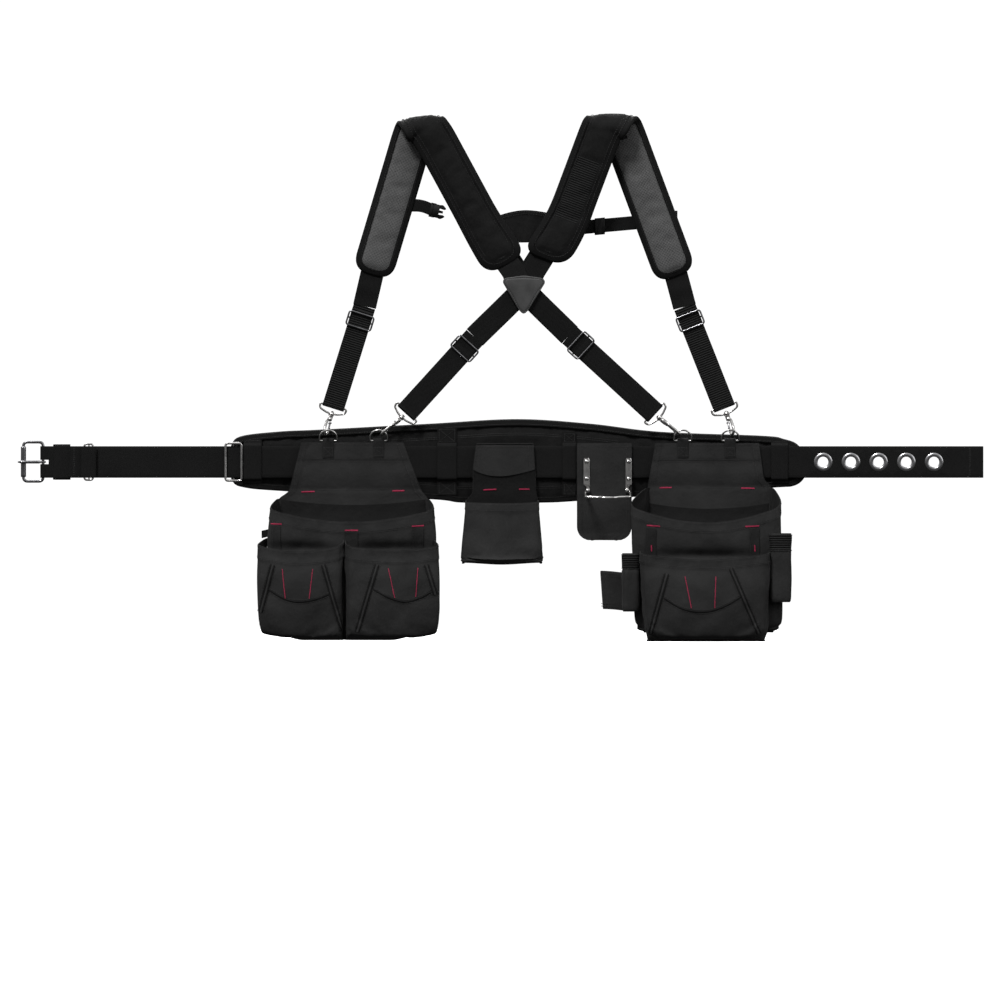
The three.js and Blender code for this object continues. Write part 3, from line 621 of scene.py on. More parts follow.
    def build(self, name, node, looks, replaces=(), turn=True):
        """Makes the piece, which rides with the CAD node's body and takes its finish."""
        faces = [f for block in self.faces for f in block.tolist()]
        mesh = bpy.data.meshes.new(name)
        mesh.from_pydata((np.vstack(self.points) * MM).tolist(), [], faces)
        layer = mesh.uv_layers.new(name="UVMap")
        layer.data.foreach_set("uv", np.concatenate([u.ravel() for u in self.uvs]))
        mesh.polygons.foreach_set("material_index", np.concatenate(self.looks).astype(np.int32))
        for look in looks:
            mesh.materials.append(look)
        if turn:
            work = bmesh.new()
            work.from_mesh(mesh)
            bmesh.ops.recalc_face_normals(work, faces=work.faces)
            work.to_mesh(mesh)
            work.free()
        mesh.shade_smooth()
        mesh.set_sharp_from_angle(angle=math.radians(SHARP_ANGLE))
        piece = bpy.data.objects.new(name, mesh)
        bpy.context.scene.collection.objects.link(piece)
        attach(piece, BODY[node])
        if replaces:
            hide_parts(*([replaces] if isinstance(replaces, str) else replaces))
        return piece


RIBBON_COLUMNS = np.array([-1, -0.97, -0.88, -0.6, -0.3, 0, 0.3, 0.6, 0.88, 0.97, 1])
RIBBON_EDGE = np.array([0.35, 0.75, 1, 1, 1, 1, 1, 1, 1, 0.75, 0.35])


def ribbon_grid(centres, across, width):
    """Rows of points across a tape; `across` is one direction or one for each centre."""
    across = np.broadcast_to(across, centres.shape)
    width = np.broadcast_to(width, len(centres))
    reach = across[:, None] * RIBBON_COLUMNS[None, :, None] * width[:, None, None] / 2
    return centres[:, None] + reach


def add_ribbon(shape, centres, across, width, thickness):
    """Flat tape along the centres, which run down its middle, with softened selvedges."""
    grid = ribbon_grid(centres, across, width)
    return shape.cloth(grid, thickness, thickness / 2, edge=RIBBON_EDGE)


# ---- Details laid on cloth ----
class Skin:
    """A finished cloth surface, seen from the front."""

    def __init__(self, grid):
        faces, _ = quads(*grid.shape[:2])
        self.tree = BVHTree.FromPolygons([Vector(p) for p in grid.reshape(-1, 3)], faces.tolist())

    def at(self, x, z):
        """The point and outward normal seen from the front at (x, z)."""
        place, normal, _, _ = self.tree.ray_cast(Vector((x, -300, z)), Vector((0, 1, 0)))
        if place is None:
            return vec(x, PANEL_FRONT, z), vec(0, -1, 0)
        normal = np.array(normal)
        return np.array(place), normal if normal[1] < 0 else -normal

    def trace(self, line, smooth=False, step=2.0):
        """Points and normals under a line of (x, z) points."""
        line = np.asarray(line, float)
        if smooth:
            line = smooth_path(line, 60)
        count = max(2, int(lengths(line)[-1] / step) + 1)
        found = [self.at(x, z) for x, z in resample(line, count)]
        return np.array([f[0] for f in found]), unit(np.array([f[1] for f in found]))


class Threads:
    """Stitches of one colour on one body, all in one piece."""

    SIDES = 5

    def __init__(self):
        self.shape = Shape()

    def lay(self, centres, along, out, length, radius):
        """One stitch at each centre: a five-sided bar with pointed ends."""
        side = np.cross(along, out)
        angle = np.arange(self.SIDES) * 2 * math.pi / self.SIDES
        spoke = (
            np.cos(angle)[None, :, None] * side[:, None]
            + np.sin(angle)[None, :, None] * out[:, None]
        ) * radius
        reach = along * np.reshape(length, (-1, 1)) / 2
        rings = [
            (centres - reach)[:, None],
            (centres - reach * 0.62)[:, None] + spoke,
            (centres + reach * 0.62)[:, None] + spoke,
            (centres + reach)[:, None],
        ]
        points = np.concatenate(rings, axis=1)
        k = self.SIDES
        i = np.arange(k)
        j = (i + 1) % k
        tips = np.stack([np.zeros(k, int), 1 + j, 1 + i], axis=1)
        ends = np.stack([np.full(k, 2 * k + 1), 1 + k + i, 1 + k + j], axis=1)
        sides = np.stack([1 + i, 1 + j, 1 + k + j, 1 + k + i], axis=1)
        each = 2 * k + 2
        offset = (np.arange(len(centres)) * each)[:, None, None]
        flat = points.reshape(-1, 3)
        tris = (np.concatenate([tips, ends])[None] + offset).reshape(-1, 3)
        fours = (sides[None] + offset).reshape(-1, 4)
        start = self.shape.count
        self.shape.add(flat, tris)
        self.shape.faces.append(fours + start)
        self.shape.uvs.append(flat[fours][..., [0, 2]] * MM)
        self.shape.looks.append(np.zeros(len(fours), int))

    def row(self, points, outs, pitch=4.0, length=3.2, radius=0.42, rows=(0.0,)):
        """Running stitches along a path, in rows at those distances to its side."""
        outs = np.broadcast_to(outs, points.shape)
        total = lengths(points)[-1]
        count = max(2, int(total / pitch))
        at = (np.arange(count) + 0.5) * total / count
        centres = sample(points, at)
        ahead = sample(points, np.minimum(at + 0.8, total))
        behind = sample(points, np.maximum(at - 0.8, 0))
        along = unit(ahead - behind)
        out = unit(sample(outs, np.interp(at, lengths(points), lengths(outs))))
        along = unit(along - out * np.sum(along * out, axis=1, keepdims=True))
        side = np.cross(along, out)
        for shift in rows:
            self.lay(centres + side * shift + out * 0.12, along, out, length, radius)

    def tack(self, points, outs, width=2.6, pitch=0.75, radius=0.42):
        """A bar tack: threads packed side by side across a short path."""
        total = lengths(points)[-1]
        count = max(3, int(total / pitch))
        at = (np.arange(count) + 0.5) * total / count
        centres = sample(points, at)
        ahead = sample(points, np.minimum(at + 1, total))
        along = unit(ahead - sample(points, np.maximum(at - 1, 0)))
        out = unit(sample(outs, np.interp(at, lengths(points), lengths(outs))))
        side = unit(np.cross(along, out))
        lean = unit(side + along * 0.22 * np.where(np.arange(count) % 2, 1, -1)[:, None])
        self.lay(centres + out * 0.45, lean, out, width, radius)

    def build(self, name, node, look):
        return self.shape.build(name, node, [look])


def below_rim(grid, distance):
    """The line on a grid at that distance down from its first row, with outward normals."""
    out = -normals(grid)
    line, outs = [], []
    for j in range(grid.shape[1]):
        s = lengths(grid[:, j])
        line.append([np.interp(distance, s, grid[:, j, k]) for k in range(3)])
        outs.append([np.interp(distance, s, out[:, j, k]) for k in range(3)])
    return np.array(line), unit(np.array(outs))


def cord_on(shape, points, outs, radius, lift):
    """Piping that lies half sunk in cloth."""
    centres = points + outs * lift
    _, across, out = directions(centres, outs)
    taper = np.minimum(1, 0.35 + from_ends(len(points)) / 2)
    shape.sweep(centres, across, out, ellipse(radius, radius * 0.8, 8), scale=taper)


# ---- Cloth simulation ----
def settle(grid, pins, slack, pressure, gravity, frames, cap, wrap_columns=False):
    """Lets a grid of cloth hang or swell from its pins, each point moving `cap` at most."""
    rows, columns = grid.shape[:2]
    faces, _ = quads(rows, columns, False, wrap_columns)
    mesh = bpy.data.meshes.new("settling")
    polygons = faces.tolist()
    if wrap_columns:
        polygons.append(list(range(columns))[::-1])
        polygons.append(list(range((rows - 1) * columns, rows * columns)))
    mesh.from_pydata((grid.reshape(-1, 3) * MM).tolist(), [], polygons)
    piece = bpy.data.objects.new("settling", mesh)
    scene = bpy.context.scene
    scene.collection.objects.link(piece)
    group = piece.vertex_groups.new(name="pins")
    weights = np.broadcast_to(pins, (rows, columns)).ravel()
    for level in np.unique(weights[weights > 0]):
        group.add(np.flatnonzero(weights == level).tolist(), float(level), "REPLACE")
    modifier = piece.modifiers.new("cloth", "CLOTH")
    cloth = modifier.settings
    cloth.quality = 6
    cloth.mass = 0.25
    stiffness = 12.0
    cloth.tension_stiffness = stiffness
    cloth.compression_stiffness = stiffness
    cloth.shear_stiffness = stiffness / 2
    cloth.bending_stiffness = 1.0
    cloth.air_damping = 2.0
    cloth.shrink_min = -slack
    cloth.vertex_group_mass = "pins"
    cloth.use_pressure = pressure != 0
    cloth.uniform_pressure_force = pressure
    cloth.effector_weights.gravity = gravity
    modifier.collision_settings.use_collision = False
    modifier.point_cache.frame_start = 1
    modifier.point_cache.frame_end = frames
    for number in range(1, frames + 1):
        scene.frame_set(number)
    evaluated = piece.evaluated_get(bpy.context.evaluated_depsgraph_get())
    settled = np.zeros(rows * columns * 3)
    evaluated.data.vertices.foreach_get("co", settled)
    bpy.data.objects.remove(piece)
    bpy.data.meshes.remove(mesh)
    scene.frame_set(1)
    moved = settled.reshape(rows, columns, 3) / MM - grid
    far = np.linalg.norm(moved, axis=2, keepdims=True)
    soft = cap * np.tanh(far / cap)
    return grid + moved * soft / np.maximum(far, 1e-9)


# ---- Padded belt ----
BELT_TOP = [
    (-458, 4), (-454, 26), (-438, 41), (-375, 48.5), (-310, 51.5), (-134, 61), (4, 68.3),
    (122, 61), (234, 48), (398, 41.6), (433, 36.6), (457, 26), (470, -4),
]
BELT_BOTTOM = [
    (-458, -4), (-452, -30), (-434, -40), (-370, -46), (-134, -59), (-80, -64.6), (42, -64.6),
    (100, -62), (240, -52), (415, -40.5), (448, -38), (464, -28), (470, -12),
]
BINDING = 9.0


def belt_outline(margin, count=260):
    """The belt's outline, `margin` inside its edge, as (x, z) points."""
    line = smooth_path(BELT_TOP + BELT_BOTTOM[::-1], count, True)
    along = unit(np.roll(line, -1, 0) - np.roll(line, 1, 0))
    inward = np.stack([along[:, 1], -along[:, 0]], axis=1)
    return line + inward * margin


def padded_belt(looks):
    """Foam in cloth, let swell between its sewn edge and its channels."""
    low, high = (np.array(corner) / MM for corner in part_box("padded_belt"))
    middle = (low[1] + high[1]) / 2
    columns, rows = 190, 30
    edge = belt_outline(1.5, 2 * columns)
    start = int(np.argmin(edge[:, 0]))
    edge = np.roll(edge, -start, 0)
    top, bottom = edge[:columns], edge[::-1][:columns]
    share = (1 - np.cos(np.linspace(0, math.pi, rows))) / 2
    flat = top[:, None] + (bottom - top)[:, None] * share[None, :, None]
    crown = (np.sin(np.pi * share) ** 0.35)[None, :]
    ends = ease(from_ends(columns) / 6)[:, None]
    half = 1.4 + 4.2 * crown * ends
    front = np.stack([flat[..., 0], middle - half, flat[..., 1]], axis=2)
    back = np.stack([flat[..., 0], middle + half, flat[..., 1]], axis=2)
    ring = np.concatenate([front, back[:, -2:0:-1]], axis=1)
    count = ring.shape[1]
    pins = np.zeros(count)
    pins[[0, 1, rows - 2, rows - 1, rows, count - 1]] = 1.0
    settled = settle(ring, pins[None, :], 0.012, 3.5, 0.0, 18, 5.0, True)
    swell = np.sin(np.pi * np.linspace(0, 1, columns))[:, None]
    settled[..., 1] += wobble(settled, 34, 3) * 0.8 * swell
    # It lies flat behind the strap and the panels, and keeps its flat back.
    x, y, z = settled[..., 0], settled[..., 1], settled[..., 2]
    behind_strap = ease((42 - np.abs(z)) / 8)
    limit = -18.5 + 4.6 * behind_strap
    for node in ("belt_loop_1", "belt_loop_2", "belt_loop_3", "belt_loop_4"):
        loop_low, loop_high = (np.array(corner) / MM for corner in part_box(node))
        near = ease((loop_high[0] + 12 - x) / 8) * ease((x - loop_low[0] + 12) / 8)
        limit = np.maximum(limit, -18.5 + 4.6 * near)
    settled[..., 1] = np.clip(y, limit, -0.3 - 0.4 * np.abs(wobble(settled, 60, 9)))
    shape = Shape().capped(settled)
    pad = shape.build("padded_belt_foam", "padded_belt", [looks["pad_cloth"]], "padded_belt")

    line = belt_outline(0.4, 520)
    centres = np.stack([line[:, 0], np.full(len(line), middle), line[:, 1]], axis=1)
    _, across, out = directions(centres, -REAR, True)
    wrap = [(-1.2, 0.0), (-0.9, 4.6), (0.8, 7.4), (BINDING, 8.3), (BINDING, 7.3), (1.6, 6.0),
            (0.6, 0.0), (1.6, -5.6), (BINDING, -6.4), (BINDING, -7.0), (0.8, -6.8), (-0.9, -4.6)]
    inner = belt_outline(3.0, 520) - line
    facing_in = np.sign(np.mean(np.sum(across[:, [0, 2]] * inner, axis=1)))
    section = [(facing_in * a, b) for a, b in wrap]
    tape = Shape().sweep(centres, across, out, section, True)
    tape.build("padded_belt_binding", "padded_belt", [looks["binding"]])

    def seam_line(margin):
        seam = belt_outline(margin, 700)
        return np.vstack([seam, seam[:1]])

    threads = Threads()
    seam = seam_line(BINDING - 1.6)
    front_y = middle - 8.9 + 0.55
    points = np.stack([seam[:, 0], np.full(len(seam), front_y), seam[:, 1]], axis=1)
    threads.row(points, -REAR)
    threads.row(points + REAR * (2 * 7.3 + 0.6), REAR)

    seam = seam_line(22.0)
    clear = np.abs(seam[:, 1]) > 33
    runs = np.split(np.arange(len(seam)), np.flatnonzero(np.diff(clear.astype(int))) + 1)
    front_skin = Skin(settled[:, :rows])
    for run in runs:
        if clear[run[0]] and len(run) > 12:
            threads.row(*front_skin.trace(seam[run]), rows=(0, 3))
    threads.build("padded_belt_stitching", "padded_belt", looks["black_thread"])


# ---- Strap, loops, keeper and eyelets ----
def belt_strap(looks):
    """The webbing, doubled round the buckle's bar, with an eyelet hole in each cell of its end."""
    _, high = (np.array(corner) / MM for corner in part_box("belt_strap"))
    right = high[0]
    half = STRAP_HALF
    thickness = 2.3
    rear_face = STRAP_FRONT + thickness
    fold = BUCKLE["bar"] + 9
    lap = -685.0
    first, pitch, count, hole = (EYELETS[k] for k in ("first", "pitch", "count", "hole"))
    sides = 8
    levels = np.linspace(-half, half, sides + 1)
    shape = Shape()
    start = first - pitch / 2
    xs = np.concatenate([np.arange(fold, start, 12), [start]])
    plain = np.array([[(x, 0, z) for z in levels] for x in xs])
    plain[..., 1] = rear_face
    flat = Shape()
    flat.skin(plain)
    steps = np.linspace(-1, 1, sides + 1)
    for i in range(count):
        centre = first + i * pitch
        reach = pitch / 2
        box = np.concatenate([
            [(reach, s * half) for s in steps[:-1]], [(-s * reach, half) for s in steps[:-1]],
            [(-reach, -s * half) for s in steps[:-1]], [(s * reach, -half) for s in steps[:-1]],
        ])
        angle = np.arctan2(box[:, 1], box[:, 0])
        circle = np.stack([np.cos(angle), np.sin(angle)], axis=1) * hole
        rings = [circle, circle * 1.5, box]
        grid = np.array([[(centre + x, rear_face, z) for x, z in ring] for ring in rings])
        flat.skin(grid, False, True)
    tail = np.array([[(x, rear_face, z) for z in levels]
                     for x in np.linspace(first + (count - 0.5) * pitch, right, 4)])
    flat.skin(tail)
    strap = flat.build("belt_strap_webbing", "belt_strap", [looks["webbing"]], "belt_strap",
                       turn=False)
    plain_uv = strap.data.uv_layers["UVMap"].data
    for loop in strap.data.loops:
        place = strap.data.vertices[loop.vertex_index].co
        plain_uv[loop.index].uv = (place.x, place.z)
    work = bmesh.new()
    work.from_mesh(strap.data)
    bmesh.ops.remove_doubles(work, verts=work.verts, dist=1e-5)
    bmesh.ops.recalc_face_normals(work, faces=work.faces)
    if sum(f.normal.y for f in work.faces) > 0:
        bmesh.ops.reverse_faces(work, faces=work.faces)
    work.to_mesh(strap.data)
    work.free()
    thick = strap.modifiers.new("thickness", "SOLIDIFY")
    thick.thickness = thickness * MM
    thick.offset = 1.0
    soft = strap.modifiers.new("selvedge", "BEVEL")
    soft.width = 0.7 * MM
    soft.segments = 2
    soft.limit_method = "ANGLE"

    # The end goes round the bar in two halves, the prong's slot between them, and laps in front.
    bar = BUCKLE["bar"]
    front, rear = STRAP_FRONT - 1.1, STRAP_FRONT + 1.2
    turn = np.linspace(math.pi / 2, 3 * math.pi / 2, 12)
    centre_y = (front + rear) / 2
    around = [(bar + 3.6 * math.cos(a), centre_y + 3.6 * math.sin(a)) for a in turn]
    path = smooth_path([(fold + 2, rear), (bar + 5, rear + 1.2), *around, (bar + 5, front - 1.4),
                        (fold + 2, front)], 48)
    slot_half = 3.4
    for low_z, high_z in ((-half, -slot_half), (slot_half, half)):
        centres = np.array([(x, y, (low_z + high_z) / 2) for x, y in path])
        add_ribbon(shape, centres, UP, high_z - low_z, 1.7)
    lap_x = np.linspace(fold, lap, 16)
    centres = np.array([(x, front + 0.5 * ease((x - lap + 12) / 12), 0) for x in lap_x])
    add_ribbon(shape, centres, UP, 2 * half, 1.7)
    shape.build("belt_strap_lap", "belt_strap", [looks["webbing"]])

    threads = Threads()
    seam_half = half - 3.0
    for x, y in ((lap - 4, front - 0.2), (lap - 22, front - 0.6), (731, STRAP_FRONT)):
        points = np.array([(x, y, z) for z in np.linspace(-seam_half, seam_half, 12)])
        threads.row(points, -REAR, 3.2, 2.6, rows=(0, 1.6))
    threads.build("belt_strap_stitching", "belt_strap", looks["black_thread"])

    # Each eyelet: (height over the strap's front, radius past the hole) round the front flange,
    # through the hole and round the washer behind.
    flange = [(-0.2, 0.3), (0.3, 0.1), (0.9, 0.6), (1.35, 2.0), (1.4, 3.6), (1.0, 5.2),
              (0.25, 6.2), (0.0, 6.2), (-0.1, 1.2)]
    washer = [(0.2, 1.2), (0.3, 4.6), (0.9, 4.4), (1.1, 2.4), (0.6, 0.2)]
    profile = [(height, hole + past) for height, past in flange]
    profile += [(-thickness - depth, hole + past) for depth, past in washer]
    profile.append(profile[0])
    metal = Shape()
    for i in range(count):
        metal.lathe(profile, vec(first + i * pitch, STRAP_FRONT, 0), -REAR, 40)
    metal.build("eyelets", "belt_strap", [looks["eyelet_steel"]])


def belt_loops(looks):
    """Webbing sewn to the padded belt above and below the strap."""
    for i in range(1, 5):
        node = f"belt_loop_{i}"
        low, high = (np.array(corner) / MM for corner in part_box(node))
        foot, face = -15.5, low[1] + 1.1
        path = [(foot, 33), (foot - 1.2, 29.5), (face + 0.8, 27.6), (face, 23), (face, 0),
                (face, -23), (face + 0.8, -27.6), (foot - 1.2, -29.5), (foot, -33)]
        within = [p for p in path if low[2] + 3 < p[1] < high[2] - 3]
        line = smooth_path([(foot, high[2]), *within, (foot, low[2])], 56)
        middle = (low[0] + high[0]) / 2
        centres = np.array([(middle, y, z) for y, z in line])
        shape = Shape()
        add_ribbon(shape, centres, RIGHT, high[0] - low[0], 1.9)
        shape.build(f"{node}_webbing", node, [looks["webbing"]], node)
        threads = Threads()
        reach = (high[0] - low[0]) / 2 - 3
        for top, bottom in ((high[2] - 2.5, 32.5), (-32.5, low[2] + 2.5)):
            if top - bottom < 4:
                top += 1.0
            corners = [(-reach, top), (reach, top), (reach, bottom), (-reach, bottom),
                       (-reach, top)]
            if top - bottom > 8:
                corners += [(reach, bottom), (reach, top), (-reach, bottom)]
            points = resample(np.array([(middle + x, foot - 1.0, z) for x, z in corners]), 80)
            threads.row(points, -REAR, 2.8, 2.2)
        threads.build(f"{node}_stitching", node, looks["black_thread"])


def belt_keeper(looks):
    """A band of webbing round the doubled strap."""
    low, high = (np.array(corner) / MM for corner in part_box("belt_keeper"))
    inset = 0.95
    corners = [(low[1] + inset, high[2] - inset), (low[1] + inset, low[2] + inset),
               (high[1] - inset, low[2] + inset), (high[1] - inset, high[2] - inset)]
    ring = resample(rounded(corners, 3.0), 64, True)
    slant = 3.0 * ring[:, 1] / high[2] * np.where(ring[:, 0] < STRAP_Y, 1, -1)
    middle = (low[0] + high[0]) / 2
    centres = np.array([(middle, y, z) for y, z in ring])
    centres[:, 0] += np.clip(slant, -1.5, 1.5)
    shape = Shape()
    outline = [(-1, -0.5), (-0.9, -1), (0.9, -1), (1, -0.5), (1, 0.5), (0.9, 1), (-0.9, 1),
               (-1, 0.5)]
    section = [(a * (high[0] - low[0] - 3) / 2, b * 0.95) for a, b in outline]
    along = unit(np.roll(centres, -1, 0) - np.roll(centres, 1, 0))
    across = np.broadcast_to(RIGHT, centres.shape)
    shape.sweep(centres, across, np.cross(along, across), section, True)
    shape.build("belt_keeper_webbing", "belt_keeper", [looks["webbing"]], "belt_keeper")


# ---- Buckle and wire sliders ----
def buckle(looks):
    """A roller buckle: a flattened wire frame, a seamed roller and a pointed prong."""
    y = STRAP_Y
    right, left, middle = BUCKLE["bar"], BUCKLE["roller"], BUCKLE["middle"]
    top, bottom = middle + BUCKLE["half"], middle - BUCKLE["half"]
    corners = [(right, y, bottom), (right, y, top), (left, y, top), (left, y, bottom)]
    frame_shape = Shape().wire(rounded(corners, 7, True, 8), BUCKLE["wire"], -REAR, True, 14)
    frame_shape.build("buckle_frame_wire", "buckle_frame", [looks["gunmetal"]], "buckle_frame")

    low, high = (np.array(corner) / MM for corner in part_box("buckle_roller"))
    outer, inner = (high[0] - low[0]) / 2, BUCKLE["wire"] + 0.5
    foot, head = low[2], high[2]
    profile = [(foot, inner), (foot, outer - 0.6), (foot + 0.6, outer), (foot + 3, outer),
               (head - 3, outer), (head - 0.6, outer), (head, outer - 0.6), (head, inner),
               (foot, inner)]
    roller = Shape().lathe(profile, vec(left, y, 0), UP, 28)
    roller.build("buckle_roller_sleeve", "buckle_roller", [looks["gunmetal"]], "buckle_roller")

    front = y - 4.4 - 2.4
    curl_radius = 3.75
    curl = [(right + curl_radius * math.cos(a), y + curl_radius * math.sin(a), 0)
            for a in np.linspace(0.2, 1.5 * math.pi, 12)[::-1]]
    spine = [(left - 8.5, front + 1.5, 0), (left - 3, front, 0), (left + 8, front, 0),
             (right - 11, front + 0.9, 0), (right - 5.4, y - 3.9, 0), *curl[1:]]
    path = smooth_path(spine, 60)
    share = lengths(path) / lengths(path)[-1]
    radius = 1.0 + 1.1 * ease(share / 0.12) - 0.9 * ease((share - 0.62) / 0.1)
    _, across, out = carried(path, UP)
    prong = Shape()
    prong.sweep(path, across, out, ellipse(1, 1.25, 12), scale=radius)
    prong.build("buckle_prong_wire", "buckle_prong", [looks["gunmetal"]], "buckle_prong")


def wire_slider(name, node, look, place, length, half, radius, web, bar_radius):
    """A frame of wire in front of webbing, and its middle bar behind. `place` is a 4x4 array."""
    front = web / 2 + 0.4 + radius
    back = -web / 2 - 0.4 - bar_radius
    long, wide = length / 2 - radius, half - radius

    def put(points):
        points = np.asarray(points, float)
        return points @ place[:3, :3].T + place[:3, 3]

    corners = [(-long, -wide, front), (long, -wide, front), (long, wide, front),
               (-long, wide, front)]
    shape = Shape()
    shape.wire(put(rounded(corners, 4.5, True, 7)), radius, place[:3, 2], True, 12)
    rise = [(0, -wide, front), (0, -wide + 0.4, back), (0, wide - 0.4, back), (0, wide, front)]
    shape.wire(put(rounded(rise, 2.2, False, 5)), bar_radius, place[:3, 0], False, 10)
    shape.build(name, node, [look], node)


def belt_sliders(looks):
    """The slide lies over the lapped end and is covered by webbing; the adjuster is bare."""
    sliders = [("belt_slide", -682.5, STRAP_FRONT - 2.1, 17, 30.5, 1.6),
               ("belt_adjuster", -450.2, STRAP_FRONT, 29.5, 32, 2)]
    for name, x, front, length, half, radius in sliders:
        place = np.eye(4)
        place[:3, 0], place[:3, 1], place[:3, 2] = RIGHT, UP, -REAR
        place[:3, 3] = (x, (front + STRAP_BACK) / 2, 0)
        wire_slider(f"{name}_wire", name, looks["steel"], place, length, half, radius,
                    STRAP_BACK - front, 1.1)
    over = [(-694, -23.9), (-693.7, -26), (-691, -27.1), (-682.5, -27.3), (-674, -27.1),
            (-671.3, -26), (-671, -23.9)]
    centres = np.array([(x, y, 0) for x, y in smooth_path(over, 40)])
    cover = Shape()
    add_ribbon(cover, centres, UP, 2 * STRAP_HALF - 0.4, 1.4)
    cover.build("belt_slide_cover", "belt_slide", [looks["webbing"]])


# ---- Panels and pockets ----
def panel_grid(left, right, top, bottom, columns, rows):
    """A panel's front face between a left and a right edge, each a list of (x, z) from the top."""
    z = np.linspace(top, bottom, rows)
    edges = []
    for edge in (left, right):
        line = rounded(edge, 6, False, 4) if len(edge) > 2 else np.asarray(edge, float)
        edges.append(np.interp(-z, -line[:, 1], line[:, 0]))
    share = np.linspace(0, 1, columns)
    x = edges[0][:, None] * (1 - share) + edges[1][:, None] * share
    heights = np.broadcast_to(z[:, None], x.shape)
    return np.stack([x, np.full(x.shape, PANEL_FRONT), heights], axis=2)


def hem_sides(grid, width, height):
    """Raises a folded hem along both side edges."""
    from_left = grid[..., 0] - grid[:, :1, 0]
    from_right = grid[:, -1:, 0] - grid[..., 0]
    inside = np.minimum(from_left, from_right)
    grid[..., 1] -= height * ease((width - inside) / 1.6 + 0.5)


def panel(name, node, grid, looks, seed, thickness=1.9):
    """A hanging panel and, behind it, the sleeve that the strap runs through."""
    grid[..., 1] += 1.0 * wobble(grid, 50, seed) + 0.5 * wobble(grid, 19, seed + 1)
    grid[..., 1] = np.minimum(grid[..., 1], PANEL_BACK - thickness - 0.1)
    shape = Shape().cloth(grid, thickness)
    shape.build(name, node, [looks["canvas"]], node)
    left, right = grid[0, 0, 0], grid[0, -1, 0]
    back, front = -15.55, PANEL_BACK + 0.2
    path = rounded([(front, -SLEEVE_HALF), (back, -SLEEVE_HALF), (back, SLEEVE_HALF),
                    (front - 1, SLEEVE_HALF + 0.6)], 4, False, 5)
    sleeve = np.array([[(x, y, z) for x in np.linspace(left + 1, right - 1, 12)] for y, z in path])
    sleeve[..., 1] += 0.25 * wobble(sleeve, 40, seed + 2)
    Shape().cloth(sleeve, 1.4, 0.7).build(f"{name}_sleeve", node, [looks["canvas"]])
    return Skin(grid)


def bag_panel(bag, left, right, heights, relief, looks, seed):
    """A bag's panel, with hemmed sides. `relief` is the foot of its thicker top band, the height
    of a seam's groove, and the height and reach of a soft swell."""
    grid = panel_grid(left, right, *heights, 60, 84)
    hem_sides(grid, 11, 0.8)
    band, groove, swell, reach = relief
    z = grid[..., 2]
    grid[..., 1] -= 0.9 * ease((z - band) / 2)
    grid[..., 1] += 1.1 * np.exp(-(((z - groove) / 3.0) ** 2))
    grid[..., 1] -= 1.6 * np.exp(-(((z - swell) / reach) ** 2))
    return panel(f"{bag}_panel", f"{bag}_back", grid, looks, seed)


def u_ring(level, backs, columns):
    """One level of a pocket, from its back left corner round the front to its back right one."""
    z, (back_left, back_right), (left, right), front, bulge = level
    u = np.linspace(-1, 1, 15)
    middle, half = (left + right) / 2, (right - left) / 2
    curve = [(middle + half * t, front - bulge * (1 - t * t)) for t in u]
    line = resample([(back_left, backs[0]), *curve, (back_right, backs[1])], columns)
    for _ in range(int(columns / 6)):
        line[1:-1] = (line[:-2] + 2 * line[1:-1] + line[2:]) / 4
    return np.column_stack([line, np.full(columns, float(z))])


def pocket_grid(levels, backs, floor_back, dip, sag, columns=72, rows=60, lifts=(0, 0)):
    """A pocket's outer face: its rim, its walls and, below, its bottom back to `floor_back`.

    `lifts` is how far its bottom rises to its left and right corners.
    """
    rings = [u_ring(level, backs, columns) for level in levels]
    rim = rings[0]
    front = rim[:, 1].min()
    base = max(backs)
    forward = np.clip((base - rim[:, 1]) / (base - front), 0, 1)
    (left, right) = levels[0][2]
    u = np.clip((rim[:, 0] - (left + right) / 2) / ((right - left) / 2), -1, 1)
    rim[:, 2] -= dip * forward**1.7 + sag * (1 - u * u) * forward**2
    last = rings[-1]
    raise_left, raise_right = lifts
    last[:, 2] += raise_left * ease(-u) + raise_right * ease(u)
    for share, rise in ((0.72, -0.4), (0.4, -0.9), (0.08, -1.2), (0.0, 0.6)):
        under = last.copy()
        under[:, 1] = floor_back + (last[:, 1] - floor_back) * share
        under[:, 2] = last[:, 2] + rise
        rings.append(under)
    stack = np.array(rings)
    return np.stack([smooth_path(stack[:, j], rows) for j in range(columns)], axis=1)


